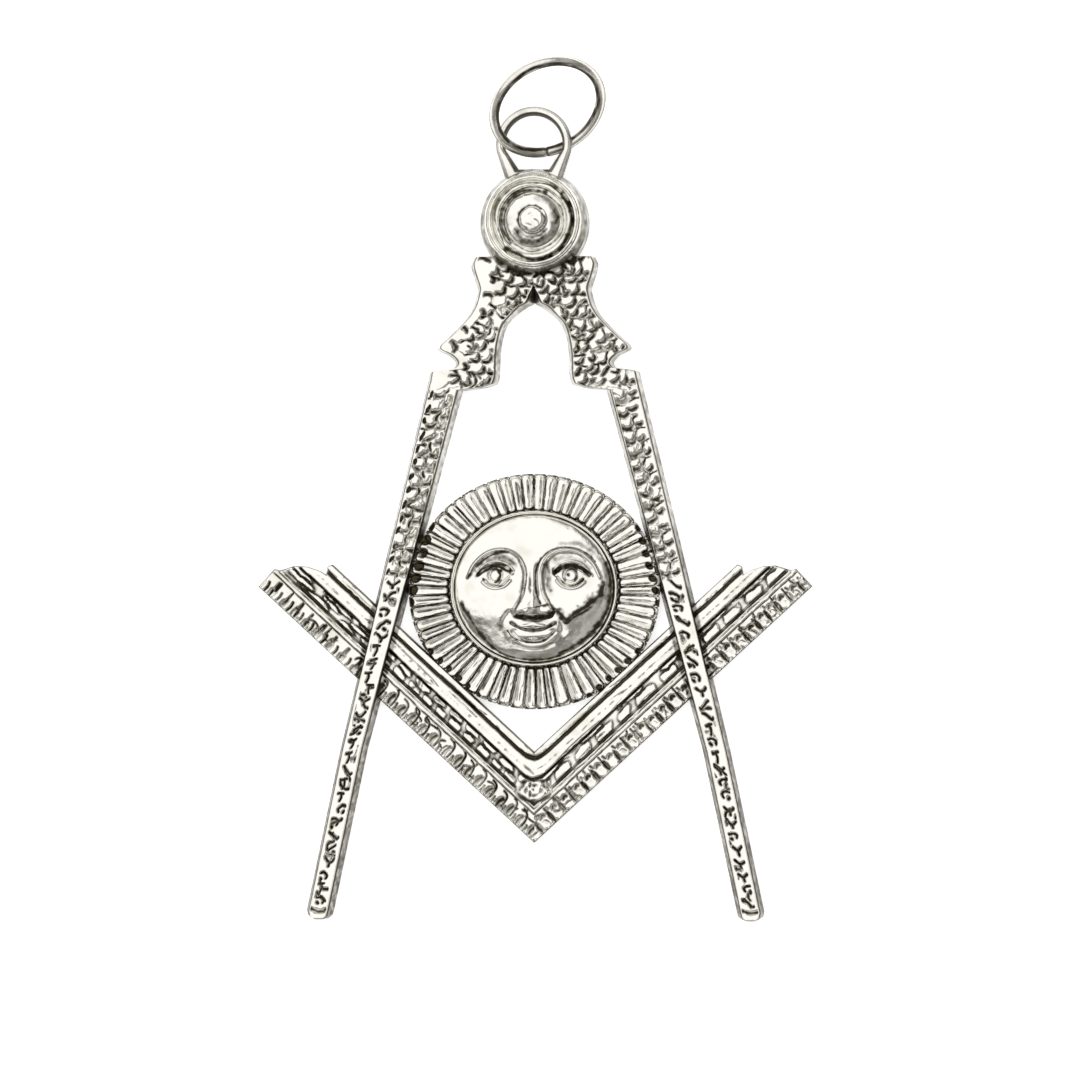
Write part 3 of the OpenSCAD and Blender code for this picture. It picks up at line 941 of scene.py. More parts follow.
    def lower_leg(self, at: LegPlaces) -> Array:
        """A chain of slanted strokes down the middle between smooth borders, one link after the other.

        Args:
            at: the places.

        Returns:
            Heights under the border, 0 or less.
        """
        x, y, edge, across = at.x, at.y, at.edge, at.across
        seed = self.CHAIN_SEED[self.side]
        part, pick, draw = row_of_marks(y / self.link + 0.14 * noise(0 * x, y, 2.2, seed + 1), seed)
        wide = self.leg_foot_w - 2 * self.draft
        f = (part + 0.06 * draw[0][pick]) * self.link
        way = across if self.side is Side.RIGHT else 1 - across
        way = np.where(draw[1][pick] > 0.4, 1 - way, way)
        a = (way + 0.06 * draw[2][pick]) * wide
        chosen = np.floor((draw[3] + 1) / 2 * len(self.LINKS)).astype(int)[pick]
        cut = 0 * x
        for number, link in enumerate(self.LINKS):
            lines = [
                (self.LINK_WIDER * width, 1.0, curve([(p * wide, q * self.link) for p, q in points], 3))
                for width, points in link
            ]
            cut = np.maximum(cut, (chosen == number) * strokes(a, f, lines))
        chain = 0.9 * nicks(a + 0.3 * y, 0.85 * y, 0.95, 0.10, seed + 6)
        cut = np.maximum(cut, chain) * smooth(0.14, 0.26, way) * fade(0.74, 0.84, way)
        heel = bell(y + self.foot_drop - 0.80 - 0.35 * (2 * across - 1) ** 2, 0.17) * smooth(0.1, 0.3, edge)
        above = smooth(-self.foot_drop + 1.1, -self.foot_drop + 1.5, y)
        return -self.relief * np.maximum(cut * above, 0.8 * heel)

    def face(self, at: LegPlaces) -> Array:
        """The cast face's height over its border, blended from the head down to the foot.

        Args:
            at: the places, with x positive on both sides.

        Returns:
            Heights, 0 on the border and negative in the cuts.
        """
        x, y, seed = at.x, at.y, self.WAVER_SEED[self.side]
        x_bent = x + ripple(x, y, seed, *self.WAVER)
        y_bent = y + ripple(x, y, seed + 2, *self.WAVER)
        bent = LegPlaces(x_bent, y_bent, at.edge, at.across)
        on_head = smooth(self.shoulder_rise - 0.3, self.shoulder_rise + 0.5, y)
        on_foot = fade(0.6, 2.0, y)
        on_leg = (1 - on_head) * (1 - on_foot)
        height = np.zeros_like(x)
        for weight, relief in ((on_head, self.head), (on_leg, self.upper_leg), (on_foot, self.lower_leg)):
            live = weight > 0
            height[live] += weight[live] * relief(bent.where(live))
        return height

    def skin(self) -> Skin:
        """The side's surface: rows at the heights, columns between the drafted edges, crowded near them.

        Returns:
            The closed surface.
        """
        y = self.heights()[:, None]
        inner, outer = self.edges(y)
        low, high = self.top_edges(y)
        even = np.linspace(0, 1, self.columns)[None]
        across = (1 - self.crowding) * even + self.crowding * (0.5 - 0.5 * np.cos(math.pi * even))
        x = low + (high - low) * across
        y = np.broadcast_to(y, x.shape)
        edge = np.minimum(np.minimum(x - low, high - x), y + self.foot_drop)
        closed = smooth(self.arch_top + 0.9, self.arch_top + 1.8, y)
        edge = np.maximum(edge, closed * np.minimum(high - x, y + self.foot_drop))
        height = self.face(LegPlaces(x, y, edge, np.broadcast_to(across, x.shape)))
        height += ripple(x, y, 3, (0.020, 0.75), (0.012, 0.33))
        height -= bevel(edge, 0.30, 0.16)
        on_leg = smooth(0.0, 2.0, y) * fade(self.shoulder_rise - 1, self.shoulder_rise, y)
        oxide_and_shade = (0.85 + 0.08 * on_leg) * hollows(height, 10, 0.11)
        oxide_and_shade = oxide_and_shade + outline(edge)
        # painted shade round the foot of the boss
        from_hinge = np.hypot(x, y - self.hinge_rise) + 0.15 * noise(x, y, 0.5, 6)
        oxide_and_shade = np.clip(oxide_and_shade + self.HINGE_SHADE * fade(*self.HINGE_RING, from_hinge), 0, 1)
        sign = self.side.value
        top = np.stack([sign * x, y, self.thickness + height], axis=-1)
        foot = np.stack([sign * (inner + (outer - inner) * across), y, np.zeros_like(y)], axis=-1)
        return plate(top, foot, oxide_and_shade)


@dataclass(frozen=True)
class SquareArms(Piece):
    """The square's two arms: a border of small teeth, a ridge, a band of leaves, rails and a rosette."""

    angle: float = 94.6
    length: float = 37.7
    width: float = 6.65
    corner_drop: float = 25.063
    thickness: float = 1.2
    relief: float = 0.45
    tooth: float = 1.48
    rosette_rise: float = -19.85
    corner_round: float = 1.6
    rows: int = 420
    columns: int = 96

    name = "square"
    # columns: share of the arm's width, set back as a share of the arm's width
    END = (
        (0.03, 0.00), (0.36, 0.00), (0.39, 0.07), (0.60, 0.19), (0.72, 0.34),
        (0.80, 0.52), (0.82, 0.64), (0.93, 0.57), (1.00, 0.60),
    )
    # columns: share of the arm's width, height as a share of the ornament's
    PROFILE = (
        (0.000, 0.62), (0.025, 0.86), (0.300, 0.90), (0.316, 0.48), (0.330, 0.98), (0.362, 1.00),
        (0.376, 0.50), (0.388, 0.80), (0.402, 0.76), (0.418, 0.05), (0.445, 0.02), (0.462, 0.80),
        (0.620, 0.80), (0.636, 0.02), (0.650, 0.04), (0.668, 0.94), (0.700, 1.02), (0.830, 0.99),
        (0.850, 0.85), (0.862, 0.02), (0.890, 0.00), (0.906, 0.90), (0.950, 1.04), (0.985, 0.95),
        (1.000, 0.60),
    )
    # strokes of one tooth of each kind: half width, depth, and points as shares of the tooth's pitch and the
    # border's width
    HOOKS = (
        (0.080, 0.90, ((0.02, 0.96), (0.28, 0.93), (0.50, 0.80), (0.60, 0.54), (0.62, 0.26), (0.56, 0.04))),
        (0.215, 1.00, ((0.34, 0.58), (0.26, 0.34), (0.33, 0.10))),
        (0.080, 0.75, ((0.86, 0.42), (0.90, 0.22), (0.86, 0.06))),
        (0.075, 0.60, ((0.12, 0.56), (0.06, 0.28), (0.10, 0.06))),
    )
    TULIPS = (
        (0.230, 1.00, ((0.02, 0.08), (0.05, 0.40))),
        (0.130, 0.95, ((0.05, 0.40), (0.00, 0.86))),
        (0.220, 1.00, ((0.98, 0.08), (0.95, 0.34))),
        (0.090, 0.85, ((0.95, 0.34), (1.00, 0.86))),
        (0.085, 0.90, ((0.50, 0.06), (0.54, 0.34), (0.46, 0.56))),
    )
    EGGS = (
        (0.070, 0.65, ((0.10, 0.16), (0.30, 0.05), (0.60, 0.04), (0.90, 0.14))),
        (0.130, 1.00, ((0.04, 0.08), (0.08, 0.36), (0.03, 0.60))),
        (0.110, 0.90, ((0.96, 0.10), (0.92, 0.40), (0.98, 0.62))),
        (0.170, 0.95, ((0.34, 0.62), (0.46, 0.68), (0.58, 0.60))),
        (0.070, 0.70, ((0.03, 0.60), (0.02, 0.90))),
        (0.080, 0.60, ((0.76, 0.66), (0.84, 0.86))),
        (0.240, 0.34, ((0.56, 0.42), (0.44, 0.20))),
    )
    # columns: side, start, end and pitch along the arm in millimetres, middle and half width of the row as
    # shares of the band
    LEAVES = (
        (Side.LEFT, 4.2, 24.0, 1.90, 0.25, 0.34),
        (Side.LEFT, 5.0, 24.0, 2.30, 0.76, 0.32),
        (Side.LEFT, 25.2, 36.0, 3.60, 0.18, 0.26),
        (Side.LEFT, 26.4, 36.0, 4.40, 0.52, 0.26),
        (Side.LEFT, 25.8, 36.0, 5.00, 0.86, 0.24),
        (Side.RIGHT, 4.0, 36.0, 2.90, 0.34, 0.46),
        (Side.RIGHT, 5.4, 36.0, 5.60, 0.95, 0.24),
    )

    # starts of the random draws of each arm's relief and of its waver
    SEEDS = {Side.LEFT: (140, 150), Side.RIGHT: (100, 110)}
    # how dark each arm's hollows are
    HOLLOWS = {Side.LEFT: 0.89, Side.RIGHT: 0.82}
    # as shares of the arm's width: the border's edge and where it blends out, the leaf band's edges and
    # where it blends in and out, and where the rails start
    BORDER = 0.305
    BORDER_END = (0.298, 0.306)
    LEAF_BAND = (0.440, 0.635)
    LEAF_IN = (0.440, 0.462)
    LEAF_OUT = (0.620, 0.636)
    RAILS = 0.66
    # how deep the teeth are cut, and the pitted line on the broad rail: place, half width and depth
    TOOTH_DEPTH = 0.95
    PITTED = (0.742, 0.013, 0.20)
    # where the left arm's teeth turn from hooks to tulips, in millimetres from the corner
    TULIPS_FROM = (24.0, 25.0)
    # the rosette's half width and half height
    ROSETTE = (1.55, 1.02)

    @property
    def half_angle(self) -> float:
        """Half of the corner's angle, in radians."""
        return math.radians(self.angle / 2)

    def along(self, u: Array, v: Array) -> tuple[Array, Array]:
        """The place on the right arm that is u along its outer edge from the corner and v in from it."""
        c, s = math.cos(self.half_angle), math.sin(self.half_angle)
        return u * s - v * c, -self.corner_drop + u * c + v * s

    def rounded(self, u: Array, v: Array) -> Array:
        """The distance in from the outer edge, with inner lines that turn the corner in an arc.

        A quarter of the arc's size times the square of how near the distances from both arms' edges are
        is taken off it.

        Args:
            u: distance along the arm.
            v: distance in from its outer edge.

        Returns:
            The distance by which the rails are laid out.
        """
        x, y = self.along(u, v)
        other = x * math.cos(self.half_angle) + (y + self.corner_drop) * math.sin(self.half_angle)
        near = np.clip(self.corner_round - np.abs(v - other), 0, None) / self.corner_round
        inner = smooth(0.54, 0.66, v / self.width)
        return v - inner * near**2 * self.corner_round / 4

    def teeth(self, u: Array, v: Array, side: Side, seed: int) -> Array:
        """Depth of the border's cuts: a bell across the distance to the strokes of each tooth.

        Args:
            u: distance along the arm.
            v: distance in from its outer edge.
            side: hooks and then tulips on the left arm, eggs on the right.
            seed: start of the random draws.

        Returns:
            Depths from 0 to 1.
        """
        band = self.BORDER * self.width
        outer = smooth(*self.TULIPS_FROM, u) if side is Side.LEFT else 0 * u
        place = u / self.tooth - 0.05 * outer * (u - 24.5) + 0.14 * noise(u, 0 * u, 3.1, seed + 1)
        part, pick, draw = row_of_marks(place, seed)
        f = 1 - part + 0.05 * draw[0][pick]
        t = v * (1 + 0.09 * draw[1][pick]) - 0.05 * draw[2][pick]
        f = f + 0.12 * draw[3][pick] * (t / band - 0.5)
        sets = [(self.EGGS, 1.0)] if side is Side.RIGHT else [(self.HOOKS, 1 - outer), (self.TULIPS, outer)]
        lines = [
            (
                width,
                share * cut * (0.78 + 0.24 * draw[1][(pick * 3 + round(90 * width)) % DRAWS]),
                curve([(a * self.tooth, b * band) for a, b in points], 3),
            )
            for table, share in sets
            for width, cut, points in table
        ]
        depth = np.maximum(strokes(f * self.tooth, t, lines), 0.6 * nicks(u, v, 1.0, 0.06, seed + 2))
        return depth * fade(0.98 * band, 1.03 * band, v)

    def leaves(self, u: Array, v: Array, side: Side, seed: int) -> Array:
        """Height of the leaf band: rows of long lobes, packed like stones, with cuts where they meet.

        Args:
            u: distance along the arm.
            v: distance in from its outer edge.
            side: which arm.
            seed: start of the random draws.

        Returns:
            Heights from 0 to 1.
        """
        low, high = self.LEAF_BAND
        low, wide = low * self.width, (high - low) * self.width
        fields = []
        for number, (arm, start, stop, pitch, up, half) in enumerate(self.LEAVES):
            if arm is side:
                spots = np.arange(start, stop, pitch)
                spots = np.stack([spots, np.full(len(spots), low + up * wide)], axis=1)
                size = (0.56 * pitch, half * wide)
                fields.append(Marks.scattered(spots, size, (0.04, 0.10), 0.16, seed + number))
        field = fields[0]
        for other in fields[1:]:
            field = field.joined(other)
        bent = v + ripple(u, v, seed + 20, (0.13, 0.9)) + ripple(u, v, seed + 22, (0.05, 0.4))
        fall, crack = field.stones(u, bent, 0.80)
        crack = smooth(0.12, 0.52, crack)
        crack = np.maximum(crack, 0.6 * nicks(0.3 * u, v, 0.9, 0.05, seed + 23))
        return 0.98 - 0.22 * fall - 0.90 * crack * (0.80 + 0.20 * noise(u, v, 0.8, seed + 21))

    def height(self, u: Array, v: Array, x: Array, y: Array, side: Side) -> Array:
        """The relief over the arm's ground, band by band.

        Args:
            u: distance along the arm.
            v: distance in from its outer edge.
            x: the same places across, from the middle of the jewel.
            y: the same places up.
            side: which arm.

        Returns:
            Heights in millimetres.
        """
        seed = self.SEEDS[side][0]
        shares, levels = np.array(self.PROFILE).T
        q = self.rounded(u, v) / self.width
        q = q + ripple(u, v, seed + 5, (0.005, 1.6), (0.003, 0.5))
        height = np.interp(q, shares, levels)
        in_border = smooth(0.0, 0.02, q) * fade(*self.BORDER_END, q)
        height -= self.TOOTH_DEPTH * in_border * self.teeth(u, v, side, seed)
        in_leaves = smooth(*self.LEAF_IN, q) * fade(*self.LEAF_OUT, q)
        height += in_leaves * (self.leaves(u, v, side, seed + 10) - height)
        pits = smooth(-0.2, 0.6, ripple(u, v, seed + 7, (1.0, 0.30), (0.45, 0.17)))
        middle, half, depth = self.PITTED
        height -= depth * bell(q - middle, half) * (0.40 + 0.60 * pits)
        height -= 0.22 * nicks(0.16 * u, v, 0.8, 0.06, seed + 4) * (q > self.RAILS)
        wide, tall = self.ROSETTE
        far = np.hypot(x / wide, (y - self.rosette_rise) / tall)
        around = np.arctan2(y - self.rosette_rise, x / 1.5)
        petals = 1 + 0.10 * np.cos(5 * around + 0.6) + 0.06 * np.cos(3 * around + 2)
        ring = bell(far - 0.50, 0.10) * (0.6 + 0.4 * np.cos(4 * around))
        rosette = (1 - 0.75 * smooth(0.78, 1.0, far / petals)) * (0.92 - 0.45 * ring)
        rosette = rosette - 0.4 * smooth(0.35, 0.75, noise(x, y, 0.38, seed + 9)) * (far < 0.8)
        near = fade(1.05, 1.25, far)
        return self.relief * (height * (1 - near) + rosette * near)

    def arm(self, side: Side) -> tuple[Array, Array]:
        """One arm's grid, from the mitre to the shaped end.

        Args:
            side: which arm.

        Returns:
            The places on top and how dark each is painted, with oxide and painted shade.
        """
        v = np.linspace(0, self.width, self.columns)[None]
        start = v / math.tan(self.half_angle)
        shares, back = np.array(self.END).T
        end = self.length - self.width * np.interp(v / self.width, shares, back)
        u = start + (end - start) * np.linspace(0, 1, self.rows)[:, None]
        v = np.broadcast_to(v, u.shape)
        x, y = self.along(u, v)
        height = self.height(u, v, x, y, side)
        edge = np.minimum(np.minimum(v, self.width - v), end - u)
        height += ripple(x, y, self.SEEDS[side][1], (0.014, 0.7), (0.009, 0.3))
        height -= bevel(edge, 0.40, 0.15)
        oxide_and_shade = hollows(height, 10, 0.13) * self.HOLLOWS[side] + outline(edge)
        return np.stack([side.value * x, y, self.thickness + height], axis=-1), oxide_and_shade

    def skin(self) -> Skin:
        """Both arms as one sheet of rows, from the left end round the corner to the right end.

        Returns:
            The closed surface.
        """
        left, left_recess = self.arm(Side.LEFT)
        right, right_recess = self.arm(Side.RIGHT)
        top = np.concatenate([left[::-1], right[1:]])
        oxide_and_shade = np.concatenate([left_recess[::-1], right_recess[1:]])
        # painted shade on the arms along the edges of the legs that lie over them
        inner, outer = CompassSide(Side.RIGHT).edges(top[..., 1])
        off_leg = np.maximum(inner - np.abs(top[..., 0]), np.abs(top[..., 0]) - outer)
        oxide_and_shade = np.clip(oxide_and_shade + 0.5 * fade(0.0, 0.22, off_leg), 0, 1)
        return plate(top, dropped(top), oxide_and_shade)


@dataclass(frozen=True)
class SunRays(Piece):
    """The sun's ground and its rays: bars side by side, each with a groove and a lower strip along it."""

    width: float = 25.12
    tall: float = 23.5
    ground: float = 1.15
    relief: float = 0.50
    count: int = 62
    inner: float = 0.66
    outer: float = 0.996
    sway: float = 0.24
    scallop: float = 0.012
    pit_pitch: float = 1.28
    per_ray: int = 20
    rings: int = 54

    name = "sun_rays"
    # rings under the face, as shares of the half size
    HUB = (0.60, 0.63, 0.65)
    # where a ray's flank starts and ends, as shares of its width
    FLANK = (0.030, 0.130)
    # rows of pits beside the legs and the arms: distance of the pits' middles from the edge and half size;
    # beside the left leg they are wider
    LEG_PITS = (0.38, 0.40)
    LEFT_PIT = 0.56
    ARM_PITS = (0.34, 0.32)

    def face_edge(self, turn: Array, scale: float) -> Array:
        """Where the face's outline crosses each spoke: the larger root of the ellipse's equation.

        Args:
            turn: the spokes' angles from straight up.
            scale: the outline's size, 1 for the rim's own.

        Returns:
            Distances as shares of the disc's half size.
        """
        face = SunFace()
        across, up = self.width / face.width * np.sin(turn), self.tall / face.tall * np.cos(turn)
        lift = 2 * face.rise / face.tall
        square = across**2 + up**2
        return (up * lift + np.sqrt((up * lift) ** 2 - square * (lift**2 - scale**2))) / square

    def pits(self, x: Array, y: Array) -> Array:
        """Round pits in a row beside the legs and the arms: depth falls off round the middle of each.

        Args:
            x: places across.
            y: places up.

        Returns:
            Depths from 0 to 1.
        """
        arms = SquareArms()
        half = arms.half_angle
        side = np.abs(x)
        to_leg = CompassSide(Side.RIGHT).edges(y)[0] - side
        to_arm = (y + arms.corner_drop) * math.sin(half) - side * math.cos(half) - arms.width
        along_arm = side * math.sin(half) + (y + arms.corner_drop) * math.cos(half)
        depth = 0 * x
        off_leg, size = self.LEG_PITS
        leg_pits = (off_leg, np.where(x < 0, self.LEFT_PIT, size))
        for way, off, (middle, size) in ((y, to_leg, leg_pits), (along_arm, to_arm, self.ARM_PITS)):
            slip = way / self.pit_pitch + 0.12 * noise(x, way, 2.1, 14)
            beside = (slip - np.round(slip)) * self.pit_pitch
            pit = fade(0.62, 1.10, np.hypot(beside, off - middle) / size)
            depth = np.maximum(depth, pit * smooth(-1.0, -0.3, noise(x, way, 1.9, 15)))
        return depth

    def skin(self) -> Skin:
        """Rings by spokes: across a ray a bar, a groove and a low strip, along it a rise and a round tip.

        Returns:
            The closed surface.
        """
        turn = np.linspace(0, TURN, self.count * self.per_ray, endpoint=False)[None]
        far = np.concatenate([self.HUB, np.linspace(self.inner, 1.0, self.rings)])[:, None]
        at = turn / TURN * self.count
        at = at + self.sway * noise(at, 0 * at, 1.6, 8) * np.minimum(1, np.minimum(at, self.count - at) / 2)
        ray = np.floor(at).astype(int) % self.count
        a = at - np.floor(at) - 0.5
        sunk, deep, late, base, tip, aside = np.random.default_rng(7).uniform(-1, 1, (6, self.count))[:, ray]
        rough = 0.030 * noise(a * 9 + ray * 13, far * 38, 1.0, 9)
        off_gap = (0.5 - np.abs(a)) * (far / 0.83) + rough
        bar = smooth(*self.FLANK, off_gap)
        start = self.face_edge(turn, 1.012) + 0.008 * base + 0.020 * (2 * a) ** 4
        stop = self.outer - 0.008 + 0.006 * tip - 0.034 * (2 * a) ** 4
        length = smooth(start - 0.008, start + 0.014, far) * fade(stop - 0.016, stop, far)
        split = a - 0.10 - 0.12 * aside + 0.5 * rough
        deep = np.clip(0.75 + 0.45 * deep, 0, 1)
        groove = deep * bell(split, 0.062) * smooth(start + 0.01, start + 0.06 + 0.03 * late, far)
        groove = groove * fade(stop - 0.07, stop - 0.035, far)
        low = 0.14 * smooth(0.0, 0.05, split) * np.abs(sunk)
        streak = noise(a * 6 + ray * 11, far * 9, 1.0, 10)
        streak = streak + 0.6 * noise(a * 14 + ray * 17, far * 26, 1.0, 12)
        body = bar * length * (1 - 0.16 * (2 * a) ** 2 - low)
        height = self.relief * (body - 0.50 * groove * bar) + 0.030 * streak * bar
        scallop = 1 - self.scallop * (1 - bar) * smooth(0.94, 1.0, far)
        x = far * scallop * self.width / 2 * np.sin(turn)
        y = far * scallop * self.tall / 2 * np.cos(turn)
        # oxide in the gaps and grooves, with noise and darker towards the bottom; painted shade on the low
        # strip beside each groove, also darker towards the bottom
        lower = smooth(0.2, -0.9, np.cos(turn - 0.5))
        worn = 0.60 + 0.10 * lower + 0.22 * noise(x, y, 1.3, 13)
        low_strip_shade = (0.23 + 0.16 * lower) * smooth(0.02, 0.10, split) * smooth(0.44, 0.34, np.abs(a))
        oxide_and_shade = worn * (0.92 * (1 - bar) + 0.86 * groove) + low_strip_shade + 0.30 * smooth(0.2, 1.2, -streak)
        # painted shade in a dark line round the disc's outer edge
        oxide_and_shade = oxide_and_shade + EDGE_SHADE * smooth(0.978, 0.992, far)
        rim_gap = bell(far - start + 0.004, 0.010) * (0.50 + 0.35 * noise(x, y, 0.9, 16))
        pit = self.pits(x, y)
        oxide_and_shade = np.clip(oxide_and_shade + rim_gap + 1.1 * pit, 0, 1)
        height = height - 0.50 * pit * np.clip(height, 0, 1)
        top = np.stack([x, y, self.ground + height], axis=-1)
        return plate(top, dropped(top), oxide_and_shade, ringed=True)


